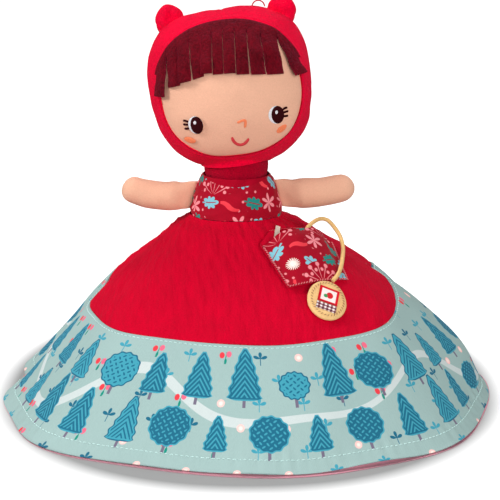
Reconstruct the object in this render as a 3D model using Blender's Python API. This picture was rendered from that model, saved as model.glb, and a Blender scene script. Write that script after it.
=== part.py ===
"""Topsy turvy doll: two stuffed cloth dolls joined at the waist, sharing one reversible skirt.

Metres, +Z up, the doll faces -Y. The origin is on the table, in the middle of the hem.
The red-hooded girl stands up out of the skirt. The second doll hangs head down inside it.
Left and right are the doll's own, so her left hand is at +X.
"""
import math
from dataclasses import dataclass, replace

import bpy
import numpy as np

# Clearances between pieces that are sewn together or lie on each other
SEAM_GAP = 0.0003
LAYER_GAP = 0.0004
NEST_GAP = 0.0010
STUFFING_GAP = 0.0018
TORSO_STUFFING_GAP = 0.0006
CUT_OVERRUN = 0.02
SHARP_EDGE_ANGLE = math.radians(50.0)

# Skirt: a dome of cloth from the waist to a round hem on the table
HEM_RADIUS = 0.1745
WAIST_HEIGHT = 0.1315
WAIST_HALF_WIDTH = 0.0330
WAIST_HALF_DEPTH = 0.0290
BODY_SHIFT = -0.0080
SKIRT_BULGE = 0.0095
SKIRT_BULGE_POWER = 1.6
SKIRT_SWAY = 0.0060
PANEL_THICKNESS = 0.0013
BAND_THICKNESS = 0.0012
LINING_THICKNESS = 0.0010
LINING_LIFT = 0.0003
SKIRT_COLUMNS = 50
NORMAL_STEP_SHARE = 0.02
BAND_TOP_SHARE = 0.548
PANEL_ROW_SHARES = (0.0, 0.24, 0.50, 0.75, 1.0)
BAND_ROW_SHARES = (0.0, 0.32, 0.65, 1.0)
LINING_TOP_SHARE = 0.07
# Where the seam between panel and band rides up: angle, half width, and share of the slope
SEAM_DIP_SHARES = (
    (100.0, 36.0, -0.120),
    (-112.0, 20.0, -0.110),
    (180.0, 40.0, -0.030),
)

# Folds of the skirt: angle at the waist and how far it drifts by the hem, both in degrees,
# half width in degrees, and depth as a share of the hem radius (outward is positive)
SKIRT_FOLD_SHARES = (
    (-47.0, 0.0, 16.0, 0.074),
    (46.0, 0.0, 16.0, 0.064),
    (13.0, 0.0, 17.0, 0.030),
    (99.0, 9.0, 9.0, -0.062),
    (-92.0, 0.0, 8.0, -0.050),
    (-75.0, 0.0, 9.0, 0.020),
    (150.0, 0.0, 13.0, -0.057),
    (-143.0, 0.0, 14.0, -0.069),
    (180.0, 0.0, 25.0, 0.023),
)
# Puffs of the skirt: angle, half width, middle and half length down the slope, depth share
SKIRT_PUFF_SHARES = (
    (82.0, 15.0, 0.76, 0.17, 0.052),
    (86.0, 26.0, 0.27, 0.17, -0.036),
    (-72.0, 14.0, 0.30, 0.16, -0.014),
)

# Torso: heights are measured from the waist towards each doll's head
SHOULDER_HEIGHT = 0.0250
BODICE_HALF_WIDTH = 0.0326
BODICE_HALF_DEPTH = 0.0280
COVER_THICKNESS = 0.0010
SECOND_TORSO_SHARE = 0.93
BODICE_START = 0.0005
SECOND_BODICE_START = 0.0050
TORSO_COLUMNS = 24
# Height share, width share and depth share of the torso from the waist to the shoulder
TORSO_PROFILE_SHARES = (
    (0.00, 1.00, 1.00),
    (0.35, 0.945, 0.965),
    (0.68, 0.87, 0.91),
    (0.88, 0.80, 0.85),
    (0.975, 0.735, 0.78),
)
FILLING_WAIST_SHARE = 0.95

# Neck: a stuffed ball that sits in a hollow of the torso and of the head
NECK_RADIUS = 0.0230
SECOND_NECK_RADIUS = 0.0200
NECK_HEIGHT = 0.0315
COLLAR_CLEARANCE = 0.0007
HOOD_NECK_CLEARANCE = 0.0034
SOCKET_GAP = 0.0008

# Head of the red-hooded girl
HEAD_HALF_WIDTH = 0.0568
HEAD_HALF_HEIGHT = 0.0563
HEAD_HALF_DEPTH = 0.0450
HEAD_RISE = 0.0542
HEAD_SIDE_OFFSET = 0.0033
HEAD_TOP_POWER = 2.75
HEAD_BOTTOM_POWER = 2.3
HEAD_LEAN = math.radians(-7.0)
HEAD_COLUMNS = 32
SECOND_HEAD_COLUMNS = 24
FILLING_COLUMNS = 20
FILLING_RINGS = 8
HOOD_THICKNESS = 0.0015
FACE_INSET = 0.0004
FACE_THICKNESS = 0.0010
FACE_RISE = 0.0038
FACE_SIDE_MARGIN = 0.0078
FACE_TOP_MARGIN = 0.0098
FACE_HALF_WIDTH = HEAD_HALF_WIDTH - FACE_SIDE_MARGIN
FACE_HALF_HEIGHT = HEAD_HALF_HEIGHT - FACE_TOP_MARGIN
FACE_POWER = 2.35
HOOD_EDGE_ROWS = 4
HOOD_BACK_ROWS = 5
FACE_ROWS = 4

# Head of the second doll
SECOND_HEAD_HALF_WIDTH = 0.0510
SECOND_HEAD_HALF_HEIGHT = 0.0500
SECOND_HEAD_HALF_DEPTH = 0.0420
SECOND_FACE_SIDE_MARGIN = 0.0105
SECOND_FACE_TOP_MARGIN = 0.0120
SECOND_FACE_HALF_WIDTH = SECOND_HEAD_HALF_WIDTH - SECOND_FACE_SIDE_MARGIN
SECOND_FACE_HALF_HEIGHT = SECOND_HEAD_HALF_HEIGHT - SECOND_FACE_TOP_MARGIN
SECOND_FACE_RISE = -0.0030
CROWN_FLAT = 0.0005

# Fringe of fleece hair
FRINGE_THICKNESS = 0.0015
FRINGE_LIFT = 0.0009
FRINGE_TUCK = 0.0009
FRINGE_STRIPS = 12
FRINGE_SLIT_SHARE = 0.10
FRINGE_ROOT_SHARE = 0.24
FRINGE_ROOT_SPAN_SHARE = 0.985
FRINGE_FOOT_SPAN_SHARE = 0.965
FRINGE_ROWS = 4
FRINGE_END_LEFT = 0.0045
FRINGE_END_MIDDLE = 0.0155
FRINGE_END_RIGHT = 0.0060
FRINGE_PEAK_SHARE = -0.30

# Ears of the hood
EAR_HALF_WIDTH = 0.0120
EAR_HEIGHT = 0.0225
EAR_HALF_DEPTH = 0.0046
EAR_ANGLES = (math.radians(46.5), math.radians(125.0))
EAR_TURNS = (math.radians(-30.0), math.radians(10.0))
EAR_SINK = 0.0100
EAR_GAP = 0.0006
EAR_COLUMNS = 20
EAR_RINGS = 5
EAR_POINT_SHARE = 0.42
EAR_EDGE_POWER = 0.7

# Embroidered face: places are measured from the middle of the head
FEATURE_LIFT = 0.0004
FEATURE_THICKNESS = 0.0005
FACE_AXIS_SHIFT = 0.0017
EYE_SPREAD = 0.0275
EYE_DROP = 0.0168
EYE_HALF_WIDTH = 0.0058
EYE_HALF_HEIGHT = 0.0070
IRIS_SHIFT = 0.0011
IRIS_HALF_WIDTH = 0.0047
IRIS_HALF_HEIGHT = 0.0064
CHEEK_SPREAD = 0.0312
CHEEK_DROP = 0.0277
CHEEK_HALF_WIDTH = 0.0042
CHEEK_HALF_HEIGHT = 0.0021
CHEEK_TURN = math.radians(16.0)
CHEEK_SINK = 0.0002
NOSE_DROP = 0.0175
NOSE_WIDTH = 0.0050
NOSE_HEIGHT = 0.0046
MOUTH_DROP = 0.0285
MOUTH_HALF_WIDTH = 0.0056
MOUTH_DEPTH = 0.0060
STITCH_HALF_WIDTH = 0.0009
EMBROIDERY_COLUMNS = 12
NOSE_POINTS = 7
MOUTH_POINTS = 9

# Arms: stuffed tubes sewn flat into the side seams
ARM_LENGTH = 0.0540
SECOND_ARM_LENGTH = 0.0420
ARM_SEAM_HEIGHT = 0.0106
ARM_HALF_HEIGHT = 0.0104
ARM_HALF_DEPTH = 0.0102
SECOND_ARM_SEAM_HEIGHT = 0.0158
SECOND_ARM_SLIM_SHARE = 0.74
ARM_SEAM_HALF_THICKNESS = 0.0005
ARM_SEAM_STAND_OFF = 0.0012
ARM_COLUMNS = 16
ARM_PATH_TURN = math.radians(16.0)
ARM_LEVEL_SHARE = 0.35
ARM_UNTWIST_SHARE = 0.40
SECOND_ARM_RAISE = math.radians(50.0)
# Place along the arm, height share and depth share of each section
ARM_SECTION_SHARES = (
    (0.00, 0.96, 0.05),
    (0.07, 1.00, 0.24),
    (0.16, 1.02, 0.52),
    (0.30, 1.02, 0.84),
    (0.48, 1.00, 1.00),
    (0.66, 0.98, 1.00),
    (0.82, 0.93, 0.94),
    (0.92, 0.74, 0.75),
    (0.975, 0.44, 0.45),
)

# Pouch: a flat bag that lies on the skirt, hung from the waist by a strap
POUCH_ANGLE = 37.5
POUCH_SHARE = 0.226
POUCH_TURN = math.radians(-10.0)
POUCH_BEND_RADIUS = 0.130
POUCH_HALF_WIDTH = 0.0265
POUCH_HALF_HEIGHT = 0.0215
POUCH_FLARE = 0.0050
POUCH_BACK_RISE = 0.0095
POUCH_BACK_TAPER_SHARE = 0.45
POUCH_LIFT = 0.0012
POUCH_WALL = 0.0012
POUCH_BULGE = 0.0092
POUCH_SEAM_WIDTH = 0.0020
POUCH_MOUTH_BOW = 0.0035
POUCH_SWELL_SEAMS = 3.0
POUCH_SWELL_SIDE_POWER = 3.0
POUCH_SWELL_RISE_POWER = 0.9
POUCH_COLUMNS = 10
POUCH_ROWS = 6
STRAP_WIDTH = 0.0032
STRAP_THICKNESS = 0.0008
STRAP_ROWS = 5
STRAP_FOOT = (-0.0165, 0.0185)
STRAP_TOP = (-0.0052, 0.0340)
POUCH_HINGE_RISE = 0.0345
POUCH_HINGE_LIFT = 0.0020

# Charm on the cord
CHARM_ANGLE = 31.0
CHARM_SHARE = 0.410
CHARM_HALF_WIDTH = 0.0120
CHARM_HALF_HEIGHT = 0.0155
CHARM_THICKNESS = 0.0042
CHARM_LIFT = 0.0006
CHARM_TOP_LIFT = 0.0030
CHARM_TURN = math.radians(36.0)
CHARM_COLUMNS = 20
CHARM_RINGS = 5
CHARM_EDGE_POWER = 0.45
LABEL_THICKNESS = 0.0005
LABEL_GRID = 4
LABEL_HALF_SIZE = 0.0066
LABEL_RISE = 0.0030
GINGHAM_HALF_WIDTH = 0.0062
GINGHAM_HALF_HEIGHT = 0.0028
GINGHAM_DROP = 0.0072

# Cord of the pouch: places across, up and above the pouch, out of the mouth, over to the side
# and down to the charm
CORD_DIAMETER = 0.0029
CORD_POINT_SPACING = 0.0066
CORD_FINE_STEPS = 24
CORD_SIDES = 2
CORD_PLACES = (
    (-0.0006, 0.0124, 0.0041),
    (0.0073, 0.0210, 0.0052),
    (0.0120, 0.0253, 0.0056),
    (0.0179, 0.0301, 0.0062),
    (0.0259, 0.0345, 0.0072),
    (0.0324, 0.0362, 0.0080),
    (0.0367, 0.0341, 0.0086),
    (0.0381, 0.0258, 0.0088),
    (0.0376, 0.0170, 0.0084),
    (0.0328, 0.0059, 0.0080),
    (0.0244, -0.0060, 0.0082),
    (0.0172, -0.0150, 0.0086),
    (0.0115, -0.0212, 0.0078),
    (0.0050, -0.0257, 0.0047),
)


# Base colour and roughness of each cloth
CLOTHS = {
    "crinkled_velour": ((0.70, 0.003, 0.022), 0.85),
    "red_fleece": ((0.72, 0.004, 0.025), 0.9),
    "printed_cotton": ((0.45, 0.72, 0.70), 0.8),
    "lining_cotton": ((0.72, 0.27, 0.37), 0.8),
    "skin_jersey": ((0.77, 0.44, 0.29), 0.75),
    "maroon_fleece": ((0.13, 0.006, 0.017), 0.95),
    "bodice_cotton": ((0.38, 0.002, 0.015), 0.8),
    "pink_cotton": ((0.72, 0.30, 0.38), 0.8),
    "cap_cotton": ((0.80, 0.45, 0.50), 0.8),
    "filling": ((0.90, 0.89, 0.86), 0.95),
    "white_thread": ((0.88, 0.88, 0.88), 0.6),
    "dark_thread": ((0.035, 0.008, 0.008), 0.6),
    "coral_thread": ((0.86, 0.19, 0.10), 0.6),
    "red_thread": ((0.62, 0.045, 0.05), 0.6),
    "cream_ribbon": ((0.80, 0.72, 0.62), 0.7),
    "tan_felt": ((0.72, 0.43, 0.15), 0.85),
    "gingham_cotton": ((0.55, 0.45, 0.45), 0.8),
}


def clear_scene():
    """Start from an empty scene."""
    for thing in list(bpy.data.objects):
        bpy.data.objects.remove(thing, do_unlink=True)


def material(piece_name, cloth):
    """The cloth material of one piece."""
    colour, roughness = CLOTHS[cloth]
    made = bpy.data.materials.new(f"{piece_name}_{cloth}")
    made.use_nodes = True
    shader = made.node_tree.nodes["Principled BSDF"]
    shader.inputs["Base Color"].default_value = (*colour, 1.0)
    shader.inputs["Roughness"].default_value = roughness
    shader.inputs["Metallic"].default_value = 0.0
    made.diffuse_color = (*colour, 1.0)
    return made


def empty(name, location, rotation=(0.0, 0.0, 0.0), parent=None):
    """A frame that carries pieces and sits on their joint."""
    frame = bpy.data.objects.new(name, None)
    frame.location = location
    frame.rotation_euler = rotation
    frame.parent = parent
    bpy.context.collection.objects.link(frame)
    return frame


def add_piece(name, points, faces, cloth, parent=None):
    """One named piece from its points and faces, smooth apart from sharp edges."""
    mesh = bpy.data.meshes.new(name)
    mesh.from_pydata([tuple(map(float, point)) for point in points], [], faces)
    mesh.update()
    mesh.shade_smooth()
    mesh.set_sharp_from_angle(angle=SHARP_EDGE_ANGLE)
    piece = bpy.data.objects.new(name, mesh)
    bpy.context.collection.objects.link(piece)
    piece.parent = parent
    if cloth:
        mesh.materials.append(material(name, cloth))
    return piece


def ring_faces(rows, columns, first=0, flip=False):
    """Triangles between the rows of a grid whose columns close on themselves, all split one way."""
    faces = []
    for row in range(rows - 1):
        for column in range(columns):
            beside = (column + 1) % columns
            start, end = first + row * columns, first + (row + 1) * columns
            for triangle in ([start + column, start + beside, end + beside],
                             [start + column, end + beside, end + column]):
                faces.append(triangle[::-1] if flip else triangle)
    return faces


def fan_faces(ring, pole, flip=False):
    """Triangles from a closed ring of point numbers to one pole."""
    faces = []
    for place, corner in enumerate(ring):
        triangle = [corner, ring[(place + 1) % len(ring)], pole]
        faces.append(triangle[::-1] if flip else triangle)
    return faces


def volume_sign(points, faces):
    """Sign of the volume inside a closed mesh: negative where its faces point inward."""
    total = 0.0
    for face in faces:
        base = points[face[0]]
        for step in range(1, len(face) - 1):
            total += float(np.dot(base, np.cross(points[face[step]], points[face[step + 1]])))
    return 1.0 if total >= 0.0 else -1.0


def add_closed(name, points, faces, cloth, parent=None):
    """A closed piece whose faces are turned outward."""
    points = np.asarray(points, float)
    middle = points.mean(axis=0)
    if volume_sign(points - middle, faces) < 0.0:
        faces = [list(face)[::-1] for face in faces]
    return add_piece(name, points, faces, cloth, parent)


def loft(name, rings, cloth, parent=None, start_pole=None, end_pole=None):
    """A closed solid through rings of points, with flat ends or a pole at either end."""
    rings = np.asarray(rings, float)
    rows, columns = rings.shape[:2]
    points = list(rings.reshape(-1, 3))
    faces = ring_faces(rows, columns)
    first = list(range(columns))
    last = list(range((rows - 1) * columns, rows * columns))
    if start_pole is None:
        faces.append(first[::-1])
    else:
        points.append(np.asarray(start_pole, float))
        faces += fan_faces(first, len(points) - 1, flip=True)
    if end_pole is None:
        faces.append(last)
    else:
        points.append(np.asarray(end_pole, float))
        faces += fan_faces(last, len(points) - 1)
    return add_closed(name, points, faces, cloth, parent)


def shell(name, outer, inner, cloth, parent=None, poles=None):
    """A wall between two grids of rings, open at both ends or closed over poles at the last."""
    outer = np.asarray(outer, float)
    inner = np.asarray(inner, float)
    rows, columns = outer.shape[:2]
    offset = rows * columns
    points = list(outer.reshape(-1, 3)) + list(inner.reshape(-1, 3))
    faces = ring_faces(rows, columns) + ring_faces(rows, columns, offset, flip=True)
    for column in range(columns):
        beside = (column + 1) % columns
        faces.append([beside, column, offset + column, offset + beside])
    last = (rows - 1) * columns
    if poles is None:
        for column in range(columns):
            beside = (column + 1) % columns
            faces.append([last + column, last + beside,
                          offset + last + beside, offset + last + column])
    else:
        points += [np.asarray(pole, float) for pole in poles]
        pole = 2 * offset
        faces += fan_faces(list(range(last, last + columns)), pole)
        faces += fan_faces(list(range(offset + last, offset + last + columns)), pole + 1, flip=True)
    return add_closed(name, points, faces, cloth, parent)


def plate(name, outer, inner, cloth, parent=None, mask=None):
    """A thin plate between two grids of points, with the cells that the mask leaves out cut away."""
    outer = np.asarray(outer, float)
    inner = np.asarray(inner, float)
    rows, columns = outer.shape[:2]
    if mask is None:
        mask = np.ones((rows - 1, columns - 1), bool)
    offset = rows * columns
    points = np.concatenate([outer.reshape(-1, 3), inner.reshape(-1, 3)])
    faces = []

    def kept(row, column):
        inside = 0 <= row < rows - 1 and 0 <= column < columns - 1
        return inside and mask[row, column]

    for row in range(rows - 1):
        for column in range(columns - 1):
            if not mask[row, column]:
                continue
            corners = [row * columns + column, row * columns + column + 1,
                       (row + 1) * columns + column + 1, (row + 1) * columns + column]
            faces.append(corners)
            faces.append([offset + corner for corner in corners][::-1])
            neighbours = (kept(row - 1, column), kept(row, column + 1),
                          kept(row + 1, column), kept(row, column - 1))
            for side, covered in enumerate(neighbours):
                if not covered:
                    start, end = corners[side], corners[(side + 1) % 4]
                    faces.append([end, start, offset + start, offset + end])
    used = sorted({corner for face in faces for corner in face})
    number = {corner: place for place, corner in enumerate(used)}
    faces = [[number[corner] for corner in face] for face in faces]
    return add_closed(name, points[used], faces, cloth, parent)


def cut(piece, cutter):
    """Take the cutter's shape out of the piece."""
    modifier = piece.modifiers.new(cutter.name, "BOOLEAN")
    modifier.operation = "DIFFERENCE"
    modifier.object = cutter
    cutter.hide_render = True
    cutter.display_type = "WIRE"


def ball_rings(radius, rings, columns):
    """Rings of a ball from just above its lowest point to just below its highest."""
    rise = np.linspace(-math.pi / 2, math.pi / 2, rings + 2)[1:-1, None]
    turn = np.linspace(0.0, 2.0 * math.pi, columns, endpoint=False)[None, :]
    return np.stack([radius * np.cos(rise) * np.cos(turn), radius * np.cos(rise) * np.sin(turn),
                     radius * np.sin(rise) + 0.0 * turn], axis=-1)


def ball(name, radius, cloth, parent, rings=9, columns=20):
    """A stuffed ball, or the cutter of its socket."""
    grid = ball_rings(radius, rings, columns)
    return loft(name, grid, cloth, parent, (0.0, 0.0, -radius), (0.0, 0.0, radius))


def fold_bell(angle, middle, half_width):
    """A smooth bump round one angle, all in degrees."""
    away = (angle - middle + 180.0) % 360.0 - 180.0
    return np.exp(-(away / half_width) ** 2)


def skirt_slope_length():
    """Length of the straight slope from the waist to the hem."""
    return math.hypot(HEM_RADIUS - WAIST_HALF_WIDTH, WAIST_HEIGHT)


def skirt_surface(angle, share):
    """Outer surface of the skirt: angle from the front in degrees, share down the slope."""
    turn = np.radians(angle)
    slope = skirt_slope_length()
    bulge = SKIRT_BULGE * np.sin(math.pi * np.clip(share, 0.0, 1.0)) ** SKIRT_BULGE_POWER
    push = bulge * WAIST_HEIGHT / slope
    for middle, drift, half_width, depth in SKIRT_FOLD_SHARES:
        push = push + depth * HEM_RADIUS * share * fold_bell(angle, middle + drift * share, half_width)
    for middle, half_width, place, length, depth in SKIRT_PUFF_SHARES:
        along = np.exp(-((share - place) / length) ** 2)
        push = push + depth * HEM_RADIUS * along * fold_bell(angle, middle, half_width)
    width = WAIST_HALF_WIDTH + (HEM_RADIUS - WAIST_HALF_WIDTH) * share + push
    depth_radius = WAIST_HALF_DEPTH + (HEM_RADIUS - WAIST_HALF_DEPTH) * share + push
    middle_x = BODY_SHIFT * (1.0 - share) + SKIRT_SWAY * np.sin(math.pi * share)
    height = WAIST_HEIGHT * (1.0 - share) + bulge * (HEM_RADIUS - WAIST_HALF_WIDTH) / slope
    return np.stack([middle_x + width * np.sin(turn), -depth_radius * np.cos(turn),
                     height + 0.0 * turn], axis=-1)


def seam_share(angle):
    """Share of the slope at which the printed band starts, at an angle in degrees."""
    share = BAND_TOP_SHARE + 0.0 * angle
    for middle, half_width, dip in SEAM_DIP_SHARES:
        share = share + dip * fold_bell(angle, middle, half_width)
    return share


def skirt_normal(angle, share):
    """Outward direction of the skirt's surface, from its slopes both ways."""
    step_angle, step_share = 0.5 * 360.0 / SKIRT_COLUMNS, NORMAL_STEP_SHARE
    low = np.clip(share - step_share, 0.0, 1.0)
    high = np.clip(share + step_share, 0.0, 1.0)
    across = skirt_surface(angle + step_angle, share) - skirt_surface(angle - step_angle, share)
    down = skirt_surface(angle, high) - skirt_surface(angle, low)
    normal = np.cross(down, across)
    return normal / np.linalg.norm(normal, axis=-1, keepdims=True)


def skirt_point(angle, share, lift):
    """A point above the skirt, or below it where the lift is negative."""
    return skirt_surface(angle, share) + skirt_normal(angle, share) * np.asarray(lift)[..., None]


def skirt_layer(name, share, depth, thickness, cloth, hem_height=None):
    """One ring of skirt cloth, set in from the outer surface by its depth."""
    angle = skirt_angles()
    angle, share = np.broadcast_arrays(angle, share)
    outer = skirt_point(angle, share, np.full(angle.shape, -depth))
    inner = skirt_point(angle, share, np.full(angle.shape, -depth - thickness))
    if hem_height is not None:
        outer[-1, :, 2] = hem_height
        inner[-1, :, 2] = hem_height
    return shell(name, outer, inner, cloth)


def skirt_angles():
    """Angles of the skirt's columns, once round from the back."""
    return np.linspace(-180.0, 180.0, SKIRT_COLUMNS, endpoint=False)[None, :]


def build_skirt():
    """Plain upper panel, printed band down to the hem, and the lining under both."""
    seam = seam_share(skirt_angles())
    panel = np.array(PANEL_ROW_SHARES)[:, None] * seam
    band = seam + np.array(BAND_ROW_SHARES)[:, None] * (1.0 - seam)
    lining = np.concatenate([panel, band[1:]])
    lining[0] = LINING_TOP_SHARE * seam[0]
    band[0] += LAYER_GAP / skirt_slope_length()
    skirt_layer("skirt_upper_panel", panel, 0.0, PANEL_THICKNESS, "crinkled_velour")
    skirt_layer("skirt_print_band", band, 0.0, BAND_THICKNESS, "printed_cotton", 0.0)
    skirt_layer("skirt_lining", lining, PANEL_THICKNESS + NEST_GAP, LINING_THICKNESS,
                "lining_cotton", LINING_LIFT)


def oval_ring(half_width, half_depth, height, columns):
    """A level oval of points."""
    turn = np.linspace(0.0, 2.0 * math.pi, columns, endpoint=False)
    return np.stack([half_width * np.cos(turn), half_depth * np.sin(turn),
                     np.full(columns, height)], axis=-1)


def torso_size(height_share):
    """Width share and depth share of the torso at a share of the shoulder height."""
    places = [row[0] for row in TORSO_PROFILE_SHARES]
    width = np.interp(height_share, places, [row[1] for row in TORSO_PROFILE_SHARES])
    depth = np.interp(height_share, places, [row[2] for row in TORSO_PROFILE_SHARES])
    return float(width), float(depth)


def build_bodice(name, parent, cloth, start, size, neck_radius):
    """Cloth cover of one torso, from the waist up to its collar round the neck ball."""
    below_neck = NECK_HEIGHT - SHOULDER_HEIGHT
    collar = math.sqrt(neck_radius ** 2 - below_neck ** 2) + COLLAR_CLEARANCE + COVER_THICKNESS
    heights = [start / SHOULDER_HEIGHT] + [row[0] for row in TORSO_PROFILE_SHARES[1:]]
    outer = []
    inner = []
    for place in heights:
        width, depth = torso_size(place)
        half_width = max(BODICE_HALF_WIDTH * width * size, collar + COVER_THICKNESS)
        half_depth = max(BODICE_HALF_DEPTH * depth * size, collar + COVER_THICKNESS)
        height = place * SHOULDER_HEIGHT
        lower = height * (1.0 - COVER_THICKNESS / SHOULDER_HEIGHT) if height > start else start
        outer.append(oval_ring(half_width, half_depth, height, TORSO_COLUMNS))
        inner.append(oval_ring(half_width - COVER_THICKNESS, half_depth - COVER_THICKNESS, lower,
                               TORSO_COLUMNS))
    outer.append(oval_ring(collar, collar, SHOULDER_HEIGHT, TORSO_COLUMNS))
    inner.append(oval_ring(collar, collar, SHOULDER_HEIGHT - COVER_THICKNESS, TORSO_COLUMNS))
    return shell(name, outer, inner, cloth, parent)


def build_torso_filling(parent, cloth):
    """One stuffed core through the waist for both dolls, hollowed for their neck balls."""
    inset = COVER_THICKNESS + TORSO_STUFFING_GAP
    levels = [(-1.0, SECOND_TORSO_SHARE, row) for row in TORSO_PROFILE_SHARES[:0:-1]]
    levels += [(1.0, 1.0, row) for row in TORSO_PROFILE_SHARES]
    rings = []
    for side, size, (place, width, depth) in levels:
        waist = FILLING_WAIST_SHARE if place == 0.0 else 1.0
        rings.append(oval_ring((BODICE_HALF_WIDTH * width * size - inset) * waist,
                               (BODICE_HALF_DEPTH * depth * size - inset) * waist,
                               side * place * (SHOULDER_HEIGHT - inset), TORSO_COLUMNS))
    filling = loft("torso_filling", rings, cloth, parent)
    for label, side, radius in (("upper", 1.0, NECK_RADIUS), ("lower", -1.0, SECOND_NECK_RADIUS)):
        socket = ball(f"{label}_torso_socket", radius + SOCKET_GAP, None, parent)
        socket.location = (0.0, 0.0, side * NECK_HEIGHT)
        cut(filling, socket)
    return filling


@dataclass(frozen=True)
class HeadShape:
    """A pillow: a rounded square seen from the front, half an oval seen from the side."""

    half_width: float
    half_height: float
    half_depth: float
    top_power: float
    bottom_power: float

    def inset(self, depth):
        """The same pillow, smaller all round by a depth."""
        return replace(self, half_width=self.half_width - depth, half_height=self.half_height - depth,
                       half_depth=self.half_depth - depth)

    def power(self, height):
        """Roundness power of the upper or the lower half."""
        return np.where(np.asarray(height) > 0.0, self.top_power, self.bottom_power)

    def rim(self, turn):
        """Point of the widest outline at an angle, seen from the front."""
        across, up = np.cos(turn), np.sin(turn)
        power = self.power(up)
        reach = (np.abs(across) ** power + np.abs(up) ** power) ** (1.0 / power)
        return np.stack([self.half_width * across / reach, self.half_height * up / reach], axis=-1)

    def depth_at(self, place):
        """Distance from the middle plane to the surface over a place seen from the front."""
        across, up = place[..., 0] / self.half_width, place[..., 1] / self.half_height
        power = self.power(up)
        reach = (np.abs(across) ** power + np.abs(up) ** power) ** (2.0 / power)
        return self.half_depth * np.sqrt(np.clip(1.0 - reach, 0.0, 1.0))

    def front(self, place):
        """Point of the front surface over a place seen from the front."""
        place = np.asarray(place, float)
        return np.stack([place[..., 0], -self.depth_at(place), place[..., 1]], axis=-1)


@dataclass(frozen=True)
class FaceOpening:
    """The rounded opening of a hood that frames the face."""

    half_width: float
    half_height: float
    rise: float

    def edge(self, turn, margin=0.0):
        """Point of the opening's edge at an angle, moved inward by a margin."""
        across, up = np.cos(turn), np.sin(turn)
        reach = (np.abs(across) ** FACE_POWER + np.abs(up) ** FACE_POWER) ** (1.0 / FACE_POWER)
        return np.stack([(self.half_width - margin) * across / reach,
                         self.rise + (self.half_height - margin) * up / reach], axis=-1)


GIRL_HEAD = HeadShape(HEAD_HALF_WIDTH, HEAD_HALF_HEIGHT, HEAD_HALF_DEPTH, HEAD_TOP_POWER,
                      HEAD_BOTTOM_POWER)
GIRL_FACE = FaceOpening(FACE_HALF_WIDTH, FACE_HALF_HEIGHT, FACE_RISE)
SECOND_HEAD = HeadShape(SECOND_HEAD_HALF_WIDTH, SECOND_HEAD_HALF_HEIGHT, SECOND_HEAD_HALF_DEPTH,
                        HEAD_TOP_POWER, HEAD_BOTTOM_POWER)
SECOND_FACE = FaceOpening(SECOND_FACE_HALF_WIDTH, SECOND_FACE_HALF_HEIGHT, SECOND_FACE_RISE)


def pillow_solid(name, shape, cloth, parent, columns=FILLING_COLUMNS, rows=FILLING_RINGS):
    """The whole pillow as a closed solid, with its poles at the front and the back."""
    turn = np.linspace(0.0, 2.0 * math.pi, columns, endpoint=False)
    rim = shape.rim(turn)
    rings = []
    for swing in np.linspace(0.0, math.pi, rows + 2)[1:-1]:
        flat = rim * math.sin(swing)
        rings.append(np.stack([flat[:, 0], np.full(len(turn), -shape.half_depth * math.cos(swing)),
                               flat[:, 1]], axis=-1))
    return loft(name, rings, cloth, parent, (0.0, -shape.half_depth, 0.0), (0.0, shape.half_depth, 0.0))


def hood_grid(shape, opening, columns):
    """Rings from the opening's edge over the rim to the back of the head."""
    turn = np.linspace(0.0, 2.0 * math.pi, columns, endpoint=False)
    edge = opening.edge(turn)
    rim = shape.rim(turn)
    rings = []
    for step in range(HOOD_EDGE_ROWS):
        blend = math.sin(0.5 * math.pi * step / HOOD_EDGE_ROWS)
        rings.append(shape.front(edge * (1.0 - blend) + rim * blend))
    for step in range(HOOD_BACK_ROWS):
        swing = 0.5 * math.pi * step / HOOD_BACK_ROWS
        flat = rim * math.cos(swing)
        rings.append(np.stack([flat[:, 0], np.full(len(turn), shape.half_depth * math.sin(swing)),
                               flat[:, 1]], axis=-1))
    return np.array(rings)


def build_hood(name, shape, opening, cloth, parent, neck, columns):
    """Fleece shell round the head, open at the face and at the neck."""
    inner_shape = shape.inset(HOOD_THICKNESS)
    hood = shell(name, hood_grid(shape, opening, columns), hood_grid(inner_shape, opening, columns),
                 cloth, parent,
                 poles=((0.0, shape.half_depth, 0.0), (0.0, inner_shape.half_depth, 0.0)))
    cut(hood, neck)
    return hood


def build_face_panel(name, shape, opening, cloth, parent, columns):
    """Knitted face that fills the opening, from its middle out to the seam."""
    turn = np.linspace(0.0, 2.0 * math.pi, columns, endpoint=False)
    edge = opening.edge(turn, SEAM_GAP)
    middle = np.array([0.0, opening.rise])
    outer_shape = shape.inset(FACE_INSET)
    inner_shape = shape.inset(FACE_INSET + FACE_THICKNESS)
    outer = []
    inner = []
    for step in range(FACE_ROWS, 0, -1):
        place = middle + (edge - middle) * step / FACE_ROWS
        outer.append(outer_shape.front(place))
        inner.append(inner_shape.front(place))
    return shell(name, outer, inner, cloth, parent,
                 poles=(outer_shape.front(middle), inner_shape.front(middle)))


def face_patch(name, outline, lift, cloth, parent, shape):
    """A thin patch of embroidery that follows the face, from its outline seen from the front."""
    outline = np.asarray(outline, float)
    middle = outline.mean(axis=0)
    top = shape.inset(-lift - FEATURE_THICKNESS)
    bottom = shape.inset(-lift)
    return shell(name, [top.front(outline)], [bottom.front(outline)], cloth, parent,
                 poles=(top.front(middle), bottom.front(middle)))


def face_stroke(name, path, half_width, lift, cloth, parent, shape):
    """A thin stroke of embroidery along a path on the face."""
    path = np.asarray(path, float)
    along = np.gradient(path, axis=0)
    along /= np.linalg.norm(along, axis=1, keepdims=True)
    across = np.stack([-along[:, 1], along[:, 0]], axis=-1) * half_width
    grid = np.stack([path - across, path, path + across])
    top = shape.inset(-lift - FEATURE_THICKNESS)
    bottom = shape.inset(-lift)
    return plate(name, top.front(grid), bottom.front(grid), cloth, parent)


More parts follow.
